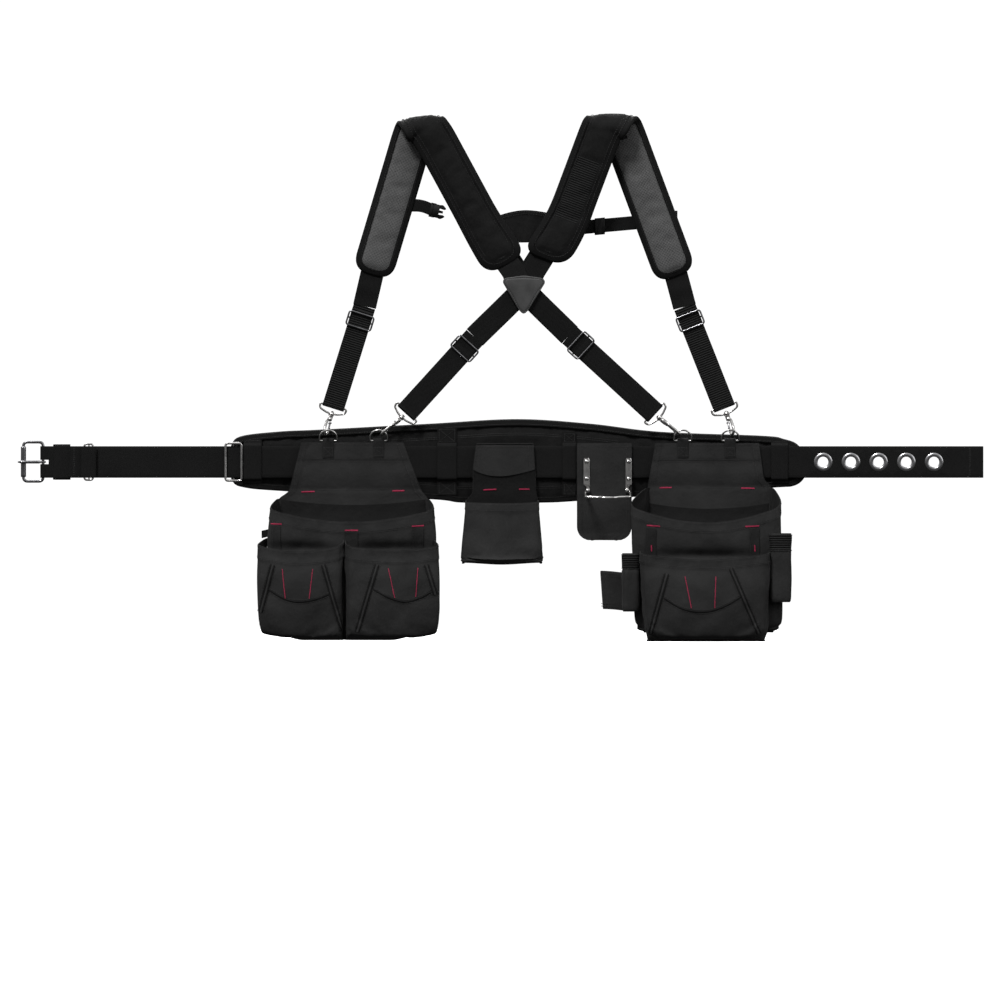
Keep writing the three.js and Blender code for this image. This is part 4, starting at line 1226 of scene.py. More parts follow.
def sew_pocket(name, node, grid, looks, seed, hem, creases):
    """Lets the cloth sag between its seams, raises its hem, and builds it as a closed sheet."""
    rows, columns = grid.shape[:2]
    down = np.stack([lengths(grid[:, j]) for j in range(columns)], axis=1)
    lowest = grid[..., 2].min()
    pins = np.zeros((rows, columns))
    pins[0] = 0.55
    pins[:, [0, 1, -2, -1]] = 1.0
    pins[grid[..., 2] < lowest + 7] = 1.0
    flat = grid
    grid = settle(grid, pins, 0.02, 0.0, 1.0, 14, 5.0)
    inward = normals(flat)
    inner = np.sum((grid - flat) * inward, axis=2, keepdims=True)
    grid = grid - inward * np.maximum(inner - 2.5, 0)
    free = ease(from_ends(columns)[None, :] / 5) * ease((grid[..., 2] - lowest) / 30)
    bump = 2.6 * wobble(grid, 58, seed) + 1.3 * wobble(grid, 24, seed + 1)
    gathers = wobble(grid * vec(1, 1, 0.18), 9, seed + 2)
    bump = bump + 0.9 * gathers * ease((down - 1) / 6) * ease((46 - down) / 24)
    for (x0, z0), (x1, z1), depth, width in creases:
        start, along = vec(x0, z0), vec(x1 - x0, z1 - z0)
        offset = grid[..., [0, 2]] - start
        share = np.clip((offset @ along) / (along @ along), 0, 1)
        gap = np.linalg.norm(offset - share[..., None] * along, axis=2)
        fade = np.sin(np.pi * np.clip(share, 0.04, 0.96))
        bump = bump - depth * fade * np.exp(-(gap / width) ** 2)
    front = ease((inward[..., 1] - 0.2) / 0.5)
    grid = grid - inward * (bump * free * front)[..., None]
    hem_height = 0.8
    raised = hem_height * ease((hem + 1.2 * wobble(grid, 40, seed + 3) - down) / 2.0 + 0.5)
    grid = grid - inward * raised[..., None]
    shape = Shape().cloth(grid, CLOTH, lining=1)
    shape.build(name, node, [looks["canvas"], looks["lining"]], node)
    return grid


def hem_stitches(threads, grid, distances, margin=3):
    """Stitches round a pocket, at those distances under its rim."""
    for distance in distances:
        points, outs = below_rim(grid, distance)
        threads.row(points[margin:-margin], outs[margin:-margin])


def welts(name, node, skin, lines, looks, threads):
    """Seams between two folded edges, with a row of stitches beside each."""
    shape = Shape()
    for line in lines:
        points, outs = skin.trace(line, len(line) > 2)
        _, across, _ = directions(points, outs)
        for side in (-1, 1):
            cord_on(shape, points + across * side * 2.7, outs, 1.5, 0.3)
        gap = ribbon_grid(points + outs * 0.5, across, 3.4)
        shape.cloth(gap, 0.5, 0.25, 1)
        threads.row(points + outs * 0.3, outs, rows=(-5.2, 5.2))
    shape.build(name, node, [looks["shadow_cloth"], looks["canvas_trim"]])


def folded_seam(name, node, skin, line, looks, threads):
    """One folded edge along a curve, stitched on both sides."""
    points, outs = skin.trace(line, True)
    shape = Shape()
    cord_on(shape, points, outs, 1.3, 0.3)
    threads.row(points + outs * 0.2, outs, rows=(-3.0, 2.8))
    shape.build(name, node, [looks["shadow_cloth"]])


def red_tacks(threads, skin, tacks, width=2.6):
    """Wide bar tacks between pairs of (x, z) points."""
    for start, end in tacks:
        points, outs = skin.trace([start, end], step=1.0)
        threads.tack(points, outs, width)


def red_lines(threads, skin, lines):
    """Narrow packed stitching along lines of (x, z) points."""
    for line in lines:
        points, outs = skin.trace(line, step=1.0)
        threads.tack(points, outs, 1.6, 0.8, 0.4)


def tape_on(shape, skin, line, width):
    """Webbing sewn flat on cloth along a line of (x, z) points."""
    points, outs = skin.trace(line, step=3.0)
    outs = unit(outs + np.roll(outs, 1, 0) + np.roll(outs, -1, 0))
    thickness, lift = 1.5, 0.2
    centres = points + outs * (thickness / 2 + lift)
    _, across, _ = directions(centres, outs)
    add_ribbon(shape, centres, across, width, thickness)


def ring_tabs(node, bag, xs, looks, threads):
    """Webbing folded round each suspender ring's bar and box-stitched to the panel."""
    y, z = RING["y"], RING["z"]
    turn = np.linspace(math.pi, -0.25, 14)
    around = [(y + 3.5 * math.cos(a), z + 3.5 * math.sin(a)) for a in turn]
    path = smooth_path([(-25.3, 7), (-25.3, 18), (-25.6, 27), *around, (-20.6, 30.2)], 48)
    shape = Shape()
    for x in xs:
        centres = np.array([(x, a, b) for a, b in path])
        add_ribbon(shape, centres, RIGHT, 18, 1.6)
        box = [(-7, 23), (7, 23), (7, 10), (-7, 10), (-7, 23), (7, 10), (7, 23), (-7, 10)]
        points = resample(np.array([(x + a, -26.1, b) for a, b in box]), 90)
        threads.row(points, -REAR, 3.0, 2.4)
    shape.build(f"{bag}_ring_tabs", node, [looks["canvas_dark"]])


def edge_seams(threads, skin, left, right, insets, top, bottom):
    """Stitches at those distances inside a panel's two side edges."""
    z = np.linspace(top, bottom, 40)
    for inset in insets:
        for edge, side in ((left, 1), (right, -1)):
            edge = np.asarray(edge, float)
            x = np.interp(-z, -edge[:, 1], edge[:, 0])
            threads.row(*skin.trace(np.column_stack([x + side * inset, z])))


def tab_seams(threads, skin, x, half, top):
    """A row of stitches near each edge of a webbing tab."""
    for side in (-1, 1):
        points, outs = skin.trace([(x + side * half, top), (x + side * half, -150)])
        threads.row(points + outs * 1.7, outs)


def painted_shade_lining(name, node, sides, heights, looks, seed):
    """The coated lining inside a bag, which slopes forward into it from the panel: a dark sheet of
    painted shade in the bag's depths.
    """
    left, right = sides
    top, bottom = heights
    columns, rows = 44, 26
    share = np.linspace(0, 1, rows)[:, None]
    u = np.linspace(-1, 1, columns)[None]
    x = (left + right) / 2 + (right - left) / 2 * u * (1 - 0.02 * share)
    z = top - 9 * (1 - u * u) + (bottom - top) * share
    y = PANEL_FRONT - 1.4 - 34 * ease(share * 1.1) * (1 - 0.35 * u * u)
    grid = np.stack([x, y, z], axis=2)
    waves = 1.6 * wobble(grid, 40, seed) + 0.7 * wobble(grid, 17, seed + 1)
    grid[..., 1] += waves * ease(share * 5)
    Shape().cloth(grid, 1.0).build(name, node, [looks["lining"]])


LEFT_MAIN = [
    (-59, (-378, -138), (-393, -125), -86.4, 8),
    (-130, (-380, -135), (-402, -117), -90.4, 8),
    (-250, (-379, -136), (-398, -122), -84.4, 6),
    (-282.5, (-367, -147), (-384, -136), -76.4, 2),
]
LEFT_POCKETS = {
    "left_bag_pocket_left": {
        "levels": [
            (-122, (-394, -272), (-411, -271.5), -116, 6),
            (-190, (-402, -272), (-413, -271.5), -124, 8),
            (-262, (-398, -272), (-409, -271.5), -118, 6),
            (-283, (-388, -275), (-394, -272), -102, 2),
        ],
        "backs": (-62, -94), "dip": 9, "sag": 9, "lifts": (11, 0),
        "welts": [[(-384, -163.5), (-404, -240)], [(-304, -163.5), (-274, -268)]],
        "pencil": [[(-369, -171), (-364, -218)], [(-320.5, -171), (-326, -218)]],
        "curve": [(-392, -203), (-366, -218), (-343, -223), (-316, -219), (-292, -210)],
        "creases": [((-400, -150), (-380, -240), 1.6, 9), ((-290, -150), (-300, -250), 1.4, 10)],
    },
    "left_bag_pocket_right": {
        "levels": [
            (-122, (-269, -134), (-269.5, -118), -116, 6),
            (-190, (-269, -126), (-269.5, -114), -124, 8),
            (-262, (-269, -128), (-269.5, -116), -118, 6),
            (-283, (-267, -136), (-269, -130), -102, 2),
        ],
        "backs": (-94, -62), "dip": 11, "sag": 5, "lifts": (0, 11),
        "welts": [[(-218, -163.5), (-250, -271)], [(-140, -163.5), (-125, -212)]],
        "pencil": [[(-200, -170), (-190, -217)], [(-153, -169), (-156.5, -215)]],
        "curve": [(-224, -203), (-200, -216), (-174, -223), (-150, -217), (-131, -207)],
        "creases": [((-250, -160), (-262, -250), 1.6, 9), ((-165, -225), (-200, -262), 1.8, 12)],
    },
}


def left_bag(looks):
    """Panel, a dark lining sheet of painted shade, main pocket with its tabs, and two front
    pockets.
    """
    node = "left_bag_back"
    left = [(-341, 32), (-361, -47.5), (-379, -59), (-382, -250), (-376, -265), (-358, -276),
            (-338, -281.5)]
    right = [(-178, 32), (-148, -47.5), (-137, -59), (-134, -250), (-139, -265), (-156, -276),
             (-176, -281.5)]
    skin = bag_panel("left_bag", left, right, (31.5, -281.5), (2.5, -43, -22, 15), looks, 11)
    black, red = Threads(), Threads()
    edge_seams(black, skin, left, right, (3, 10), 29, -62)
    for z_line in (28.5, 4.6, 1.0):
        down = 28 - z_line
        black.row(*skin.trace([(-336 - down * 0.22, z_line), (-182 + down * 0.3, z_line)]))
    black.row(*skin.trace([(-316, -44.5), (-200, -43.5)]))
    red_tacks(red, skin, [((-341, -48), (-320, -47.5)), ((-195, -46.5), (-176, -46))])
    ring_tabs(node, "left_bag", (-298, -217), looks, black)

    # A dark sheet inside the bag: painted shade where the bag is deep.
    painted_shade_lining("left_bag_painted_shade_lining", node, (-374, -142), (-60, -205), looks, 15)
    main = pocket_grid(LEFT_MAIN, (SHELL_BACK, SHELL_BACK), SHELL_BACK, 16, 17, 84, 64, (8, 8))
    creases = [((-330, -110), (-345, -150), 1.5, 9), ((-190, -112), (-205, -150), 1.5, 10),
               ((-396, -137), (-274, -141), 8, 9), ((-266, -140), (-122, -137), 8, 9)]
    main = sew_pocket("left_bag_main_cloth", "left_bag_main", main, looks, 21, 19, creases)
    main_skin = Skin(main)
    hem_stitches(black, main, (2.5, 16, 18.5))
    red_tacks(red, main_skin, [((-388, -99), (-371, -99.5)), ((-270, -109.5), (-249, -109.5)),
                               ((-163, -103), (-144, -102))])
    tabs = Shape()
    for x, width, top in ((-379.5, 15, -102.5), (-259.5, 21, -112.5), (-153.5, 19, -105.5)):
        tape_on(tabs, main_skin, [(x, top), (x - 0.5, -158)], width)
        tab_seams(black, main_skin, x, width / 2 - 2, top - 6)
    tabs.build("left_bag_web_tabs", "left_bag_main", [looks["canvas_dark"]])
    side_loop(looks)

    for pocket, facts in LEFT_POCKETS.items():
        grid = pocket_grid(facts["levels"], facts["backs"], -66, facts["dip"], facts["sag"], 66, 58,
                           facts["lifts"])
        seed = 31 if pocket.endswith("left") else 41
        grid = sew_pocket(f"{pocket}_cloth", pocket, grid, looks, seed, 22, facts["creases"])
        pocket_skin = Skin(grid)
        hem_stitches(black, grid, (2.5, 19, 21.5))
        welts(f"{pocket}_piping", pocket, pocket_skin, facts["welts"], looks, black)
        red_lines(red, pocket_skin, facts["pencil"])
        folded_seam(f"{pocket}_curved_seam", pocket, pocket_skin, facts["curve"], looks, black)
    black.build("left_bag_stitching", node, looks["black_thread"])
    red.build("left_bag_bar_tacks", node, looks["red_thread"])


def side_loop(looks):
    """The small webbing loop that stands out beside the left bag's left pocket."""
    turn = np.linspace(-0.5 * math.pi, 0.5 * math.pi, 14)
    centres = np.array([(-390 - 13 * math.cos(a), -66 + 6 * math.sin(a), -113 - 3 * math.cos(a))
                        for a in turn])
    shape = Shape()
    add_ribbon(shape, centres, UP, 12, 1.6)
    shape.build("left_bag_side_loop", "left_bag_main", [looks["webbing"]])


RIGHT_MAIN = [
    (-41, (217, 413), (181, 431), -86.4, 8),
    (-130, (212, 411), (181, 434), -90.4, 8),
    (-238, (208, 409), (184, 437), -84.4, 6),
    (-262, (213, 406), (190, 432), -80.4, 4),
    (-275, (222, 398), (204, 420), -72.4, 2),
]
RIGHT_POCKET = [
    (-143, (201, 407), (201, 407), -118, 8),
    (-200, (203, 407), (203, 407), -126, 9),
    (-262, (209, 404), (209, 404), -122, 7),
    (-285, (213, 400), (213, 400), -104, 2),
]


def right_bag(looks):
    """Panel, a dark lining sheet of painted shade, main pocket with its tabs, front pocket, sleeves
    and side loop.
    """
    node = "right_bag_back"
    left = [(227, 31), (215, -38), (216, -60), (208, -240), (212, -260), (224, -270),
            (240, -274.5)]
    right = [(393, 31), (401, -28), (413.5, -40), (412, -60), (408, -240), (405, -260),
             (393, -270), (378, -274.5)]
    skin = bag_panel("right_bag", left, right, (30.5, -274.5), (1.5, -39, -19, 14), looks, 12)
    black, red = Threads(), Threads()
    edge_seams(black, skin, left, right, (3, 10), 28, -44)
    for z_line in (27.5, 3.2, -0.4):
        down = 28 - z_line
        black.row(*skin.trace([(229 - down * 0.17, z_line), (391 + down * 0.14, z_line)]))
    black.row(*skin.trace([(256, -40.5), (362, -41)]))
    red_tacks(red, skin, [((234, -41.5), (253, -41)), ((365, -42), (386, -42.5))])
    ring_tabs(node, "right_bag", (271, 347), looks, black)

    # A dark sheet inside the bag: painted shade where the bag is deep.
    painted_shade_lining("right_bag_painted_shade_lining", node, (217, 409), (-66, -205), looks, 16)
    main = pocket_grid(RIGHT_MAIN, (SHELL_BACK, SHELL_BACK), SHELL_BACK, 31, 21, 88, 66, (4, 4))
    creases = [((225, -112), (222, -150), 1.5, 8), ((330, -118), (300, -150), 1.2, 12),
               ((204, -151), (405, -151), 8, 9)]
    main = sew_pocket("right_bag_main_cloth", "right_bag_main", main, looks, 51, 17, creases)
    main_skin = Skin(main)
    hem_stitches(black, main, (2.5, 14, 16.5))
    red_tacks(red, main_skin, [((212, -101.5), (233, -103)), ((369, -103.5), (391, -102.5))])
    tabs = Shape()
    for x in (219, 384):
        tape_on(tabs, main_skin, [(x, -106), (x + 0.5, -160)], 16)
        red_tacks(red, Skin(main - normals(main) * 1.9), [((x, -133), (x + 0.5, -143))], 2.2)
        tab_seams(black, main_skin, x, 6.5, -108)
    tabs.build("right_bag_web_tabs", "right_bag_main", [looks["canvas_dark"]])

    pocket = pocket_grid(RIGHT_POCKET, (-88, -88), -70, 2, 8, 76, 56)
    creases = [((225, -160), (214, -240), 1.6, 9), ((380, -170), (392, -240), 1.6, 9),
               ((300, -240), (260, -268), 1.5, 14)]
    pocket_node = "right_bag_pocket"
    pocket = sew_pocket("right_bag_pocket_cloth", pocket_node, pocket, looks, 61, 16, creases)
    pocket_skin = Skin(pocket)
    hem_stitches(black, pocket, (2.5, 13, 15.5))
    lines = [[(243, -178), (217, -274)], [(345, -170), (390, -274)]]
    welts("right_bag_pocket_piping", pocket_node, pocket_skin, lines, looks, black)
    curve = [(238, -217), (268, -234), (303, -239), (335, -230), (364, -213)]
    folded_seam("right_bag_pocket_curved_seam", pocket_node, pocket_skin, curve, looks, black)
    red_lines(red, pocket_skin, [[(272, -183), (282, -233)], [(321, -183), (319, -233)]])

    sleeve("right_bag_sleeve_left", (173, 200.4), (-146, -239), -103, looks, black, 71)
    sleeve("right_bag_sleeve_right", (407.8, 442), (-114, -224), -103, looks, black, 81)
    black.build("right_bag_stitching", node, looks["black_thread"])
    red.build("right_bag_bar_tacks", node, looks["red_thread"])
    bag_side_loop(looks)


def sleeve(node, span, heights, front, looks, threads, seed):
    """A narrow tool sleeve on the bag's side, with an elastic band round its mouth."""
    left, right = span
    top, bottom = heights
    corners = [(left, -60), (left, front), (right, front), (right, -60)]
    ring = resample(rounded(corners, 8), 44, True)
    levels = [(top, 1.0), (top - 4, 1.02), (top - 24, 0.97), (top - 30, 1.03),
              ((top + bottom) / 2, 1.04), (bottom + 14, 1.03), (bottom + 3, 0.98), (bottom, 0.9)]
    middle = ring.mean(axis=0)
    stack = np.array([
        np.column_stack([middle + (ring - middle) * scale, np.full(len(ring), z)])
        for z, scale in levels
    ])
    grid = np.stack([smooth_path(stack[:, j], 40) for j in range(len(ring))], axis=1)
    grid[..., 0] += 0.8 * wobble(grid, 30, seed)
    grid[..., 1] += 0.8 * wobble(grid, 26, seed + 1)
    z = grid[..., 2]
    pleat = np.sin(np.arange(len(ring)) * 2 * math.pi / 5.5)[None]
    inward = unit(np.concatenate([middle - grid[..., :2], np.zeros_like(z)[..., None]], axis=2))
    pleat = pleat * 0.5 * ease((top - 24 - z) / 6) * ease((z - top + 60) / 30)
    grid = grid - inward * pleat[..., None]
    inner = grid + inward * 1.5
    wall = np.concatenate([inner[-4::-1], grid], axis=0)
    shape = Shape().capped(wall)
    shape.build(f"{node}_cloth", node, [looks["canvas"]], node)
    outside = grid[1:11] - inward[1:11]
    inside = outside + inward[1:11] * 0.8
    band = Shape().skin(np.concatenate([outside, inside[::-1]], axis=0), True, True)
    band.build(f"{node}_elastic", node, [looks["elastic"]])
    for index in (1, 10):
        outs = -np.vstack([inward[index], inward[index][:1]])
        threads.row(np.vstack([grid[index], grid[index][:1]]) + outs * 1.1, outs)


def bag_side_loop(looks):
    """The wide webbing loop on the right bag's left side, for a hammer or a pry bar."""
    low, high = (np.array(corner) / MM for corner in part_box("right_bag_side_loop"))
    left, front, back = low[0] + 1.2, low[1] + 1.2, high[1] - 1.2
    path = rounded([(200, front), (left, front), (left, back), (208, back)], 12, False, 8)
    line = resample(path, 60)
    centres = np.array([(x, y, (low[2] + high[2]) / 2 + 2.0 * math.sin(x / 18)) for x, y in line])
    shape = Shape()
    add_ribbon(shape, centres, unit(vec(-0.07, 0, 1)), high[2] - low[2] - 0.6, 2.2)
    shape.build("right_bag_side_loop_webbing", "right_bag_side_loop", [looks["canvas"]],
                "right_bag_side_loop")
    threads = Threads()
    for offset in (-26, -22, 22, 26):
        points = centres[4:-8] + UP * offset
        _, _, out = directions(points, -REAR + 1e-3)
        outward = -np.cross(unit(np.gradient(points, axis=0)), UP)
        threads.row(points + outward * 1.15, out)
    threads.build("right_bag_side_loop_stitching", "right_bag_side_loop", looks["black_thread"])


# ---- Tape pouch and hammer holder ----
def tape_pouch(looks):
    """Panel, flap, a dark sheet of painted shadow in the mouth, and box pocket."""
    node = "tape_pouch_back"
    left = [(-61, 28), (-66, -9), (-66, -50), (-77, -61), (-84, -136), (-79, -160)]
    right = [(32, 28), (34, -9), (36, -50), (39, -61), (46, -140), (41, -160)]
    grid = panel_grid(left, right, 27.5, -160, 34, 56)
    panel("tape_pouch_panel", node, grid, looks, 13, 1.7)
    black, red = Threads(), Threads()

    # The flap: a second layer with a curved lower edge.
    columns, rows = 34, 22
    share = np.linspace(0, 1, columns)
    lower = -12 - 11 * np.sin(np.pi * share**0.8)
    z = 27.0 + (lower[None] - 27.0) * np.linspace(0, 1, rows)[:, None]
    x_left = np.interp(-z, [-28, 9, 50], [-60.5, -65.3, -65.5])
    x_right = np.interp(-z, [-28, 9, 50], [31.5, 33.5, 35.5])
    x = x_left * (1 - share) + x_right * share
    lift = 1.8 + 1.2 * np.sin(np.pi * share)[None] * np.linspace(0, 1, rows)[:, None]
    flap = np.stack([x, PANEL_FRONT - lift, z], axis=2)
    hem_sides(flap, 9, 0.6)
    Shape().cloth(flap, 1.4).build("tape_pouch_flap", node, [looks["canvas"]])
    flap_skin = Skin(flap)
    edge_seams(black, flap_skin, left, right, (2.5, 9), 25, -9)
    black.row(*flap_skin.trace([(-58, 24.5), (29, 24.5)]))
    tacks = [((-49, -44.8), (-28.5, -44)), ((8, -43.7), (25, -43.7))]
    red_tacks(red, Skin(grid - REAR * 1.9), tacks)

    # Under the flap, a near-black sheet in front of the panel: painted shadow in the pouch's mouth.
    mouth = panel_grid(left, right, -12, -70, 34, 20)
    mouth[..., 0] = -14 + (mouth[..., 0] + 14) * 0.985
    mouth[..., 1] -= 0.9 + 1.4 * ease((-30 - mouth[..., 2]) / 30)
    Shape().cloth(mouth, 0.7).build("tape_pouch_mouth_shade", node, [looks["shadow_cloth"]])
    levels = [(-61, (-76, 38), (-78, 40), -66.4, 3), (-138, (-84, 45), (-87.5, 48.8), -74.4, 4),
              (-156, (-82, 44), (-87, 48), -73.4, 4),
              (-163.5, (-79.5, 41.5), (-84.5, 45.5), -70.4, 3)]
    body = pocket_grid(levels, (SHELL_BACK, SHELL_BACK), SHELL_BACK, 1, 2, 60, 46, (3, 3))
    creases = [((-60, -90), (-40, -140), 1.2, 10), ((10, -80), (20, -140), 1.2, 9)]
    body = sew_pocket("tape_pouch_cloth", "tape_pouch_body", body, looks, 91, 14, creases)
    hem_stitches(black, body, (2.5, 12))
    body_skin = Skin(body)
    for line in ([(-76, -66), (-83, -150)], [(38, -66), (45, -150)]):
        black.row(*body_skin.trace(line))
    black.build("tape_pouch_stitching", node, looks["black_thread"])
    red.build("tape_pouch_bar_tacks", node, looks["red_thread"])


def hammer_holder(looks):
    """Panel, two brackets and the wire loop that turns in them."""
    node = "hammer_panel"
    low, _ = (np.array(corner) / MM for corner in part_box(node))
    arc = 22
    left = [(101, 30), (101, low[2] + arc)]
    right = [(189, 30), (189, low[2] + arc)]
    for angle in np.linspace(0.15, 1.35, 7):
        drop = arc * math.sin(angle)
        pull = arc * (1 - math.cos(angle))
        left.append((101 + pull, low[2] + arc - drop))
        right.append((189 - pull, low[2] + arc - drop))
    grid = panel_grid(left, right, 29.5, left[-1][1], 34, 62)
    hem_sides(grid, 8, 0.7)
    z = grid[..., 2]
    grid[..., 1] -= 0.7 * ease((left[-1][1] + 9 - z) / 2)
    skin = panel("hammer_holder_panel", node, grid, looks, 14, 1.8)
    black = Threads()
    edge_seams(black, skin, left, right, (2.5, 8.5), 27, left[-1][1] + 3)
    black.row(*skin.trace([(105, 25), (185, 25)]))
    black.row(*skin.trace([(127, left[-1][1] + 3), (163, left[-1][1] + 3)]))
    black.build("hammer_holder_stitching", node, looks["black_thread"])

    for side in ("left", "right"):
        bracket(f"hammer_bracket_{side}", looks)
    pivot_y, pivot_z = HAMMER_PIVOT
    droop, reach = math.radians(10), 58

    def at(x, out):
        return vec(x, pivot_y - out * math.cos(droop), pivot_z - out * math.sin(droop))

    left_x, right_x = 113.6, 186.6
    middle = (left_x + right_x) / 2
    bow = [at(120.8, 0), at(left_x, 0), at(left_x, reach), at(middle - 14, reach + 4),
           at(middle - 8, reach + 8.6), at(middle + 8, reach + 8.6), at(middle + 14, reach + 4),
           at(right_x, reach), at(right_x, 0), at(179.8, 0)]
    up = vec(0, -math.sin(droop), math.cos(droop))
    loop = Shape().wire(rounded(np.array(bow), 5.5, False, 7), 2.25, up, False, 14)
    loop.build("hammer_loop_wire", "hammer_loop", [looks["steel"]], "hammer_loop")


def bracket(node, looks):
    """A strap of plate rolled round the loop's end, held by two domed rivets."""
    low, high = (np.array(corner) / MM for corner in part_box(node))
    y, z = HAMMER_PIVOT
    width = 10.0
    middle = (low[0] + high[0]) / 2
    barrel = (116.4, 121.6) if node.endswith("left") else (179.0, 183.8)
    turn = np.linspace(0.0, 1.72 * math.pi, 22)
    curl = [(y + 3.6 * math.cos(a), z + 3.6 * math.sin(a)) for a in turn]
    spine = [(-25.5, high[2] - 0.8), (-25.6, -10), (-25.5, -36), (-25.3, -41), *curl[1:]]
    path = smooth_path(spine, 70)
    centres = np.array([(middle, a, b) for a, b in path])
    narrow = ease((-36 - path[:, 1]) / 5)
    narrow[np.argmin(path[:, 1] > -40):] = 1.0
    centres[:, 0] += ((barrel[0] + barrel[1]) / 2 - middle) * narrow
    width_at = width + (barrel[1] - barrel[0] - width) * narrow
    width_at *= 1 - 0.35 * ease((path[:, 1] - high[2] + 5) / 5) * (np.arange(len(path)) < 12)
    grid = ribbon_grid(centres, RIGHT, width_at)
    bowed = (1 - RIBBON_COLUMNS**2)[None, :] * 0.7 * (1 - narrow)[:, None]
    grid[..., 1] -= bowed
    shape = Shape().cloth(grid, 1.5, 0.75, 0, RIBBON_EDGE)
    dome = [(0, 3.6), (0.5, 3.5), (1.3, 2.7), (1.8, 1.4), (2.0, 0.05), (-0.6, 0.05), (-0.6, 3.6),
            (0, 3.6)]
    for rivet_z in (0.5, -27.0):
        shape.lathe(dome, vec(middle, -27.0, rivet_z), -REAR, 20)
    shape.build(f"{node}_plate", node, [looks["steel"]], node)


# ---- Rings and snap hooks ----
TILT = math.radians(RING["tilt"])
# Each hook's ring, its place on the ring's arch, its slope and lean, its eye's turn, and the side
# and swivel of its gate; X in millimetres and the rest in degrees.
END_KEYS = ("ring", "turn", "slope", "lean", "eye", "side", "swivel")
ENDS = {
    name: dict(zip(END_KEYS, values))
    for name, *values in (
        ("front_left", -298, -14, 17, 40, 15, 1, 62),
        ("back_left", -217, 40, 50, 0, 44, 1, 82),
        ("back_right", 271, -42, -51, 0, -46, -1, 82),
        ("front_right", 347, 12, -17, 40, -20, -1, 62),
    )
}


def ring_point(x, across, rise):
    """A point in the plane of the tilted ring whose bar's middle is at `x`."""
    return vec(x + across, RING["y"] - rise * math.sin(TILT), RING["z"] + rise * math.cos(TILT))


def place_ends():
    """Works out each hook's axis, joint and bar from where it hangs on its ring."""
    for end in ENDS.values():
        turn = math.radians(end["turn"])
        half, rise = RING["half"], RING["rise"]
        contact = ring_point(end["ring"], half * math.sin(turn), rise + half * math.cos(turn))
        slope, lean, eye = (math.radians(end[key]) for key in ("slope", "lean", "eye"))
        level = math.cos(lean)
        end["axis"] = vec(math.sin(slope) * level, math.sin(lean), math.cos(slope) * level)
        end["joint"] = contact + end["axis"] * HOOK["reach"]
        end["up"] = vec(math.sin(eye), 0, math.cos(eye))
        end["across"] = vec(math.cos(eye), 0, -math.sin(eye))
        end["bar"] = end["joint"] + end["up"] * EYE["bar"]


def rings(looks):
    """The four D-rings."""
    up = vec(0, math.cos(TILT), math.sin(TILT))
    for name, end in ENDS.items():
        half, rise = RING["half"], RING["rise"]
        arch = [ring_point(end["ring"], half * math.cos(a), rise + half * math.sin(a))
                for a in np.linspace(0, math.pi, 36)]
        feet = [ring_point(end["ring"], side * half, 0) for side in (-1, 1)]
        corners = [arch[-1], *feet, arch[0]]
        foot = rounded(np.array(corners), 3.2, False, 7)
        node = f"d_ring_{name}"
        wire = Shape().wire(np.vstack([arch, foot[1:-1]]), RING["wire"], up, True, 14)
        wire.build(f"{node}_wire", node, [looks["steel"]], node)


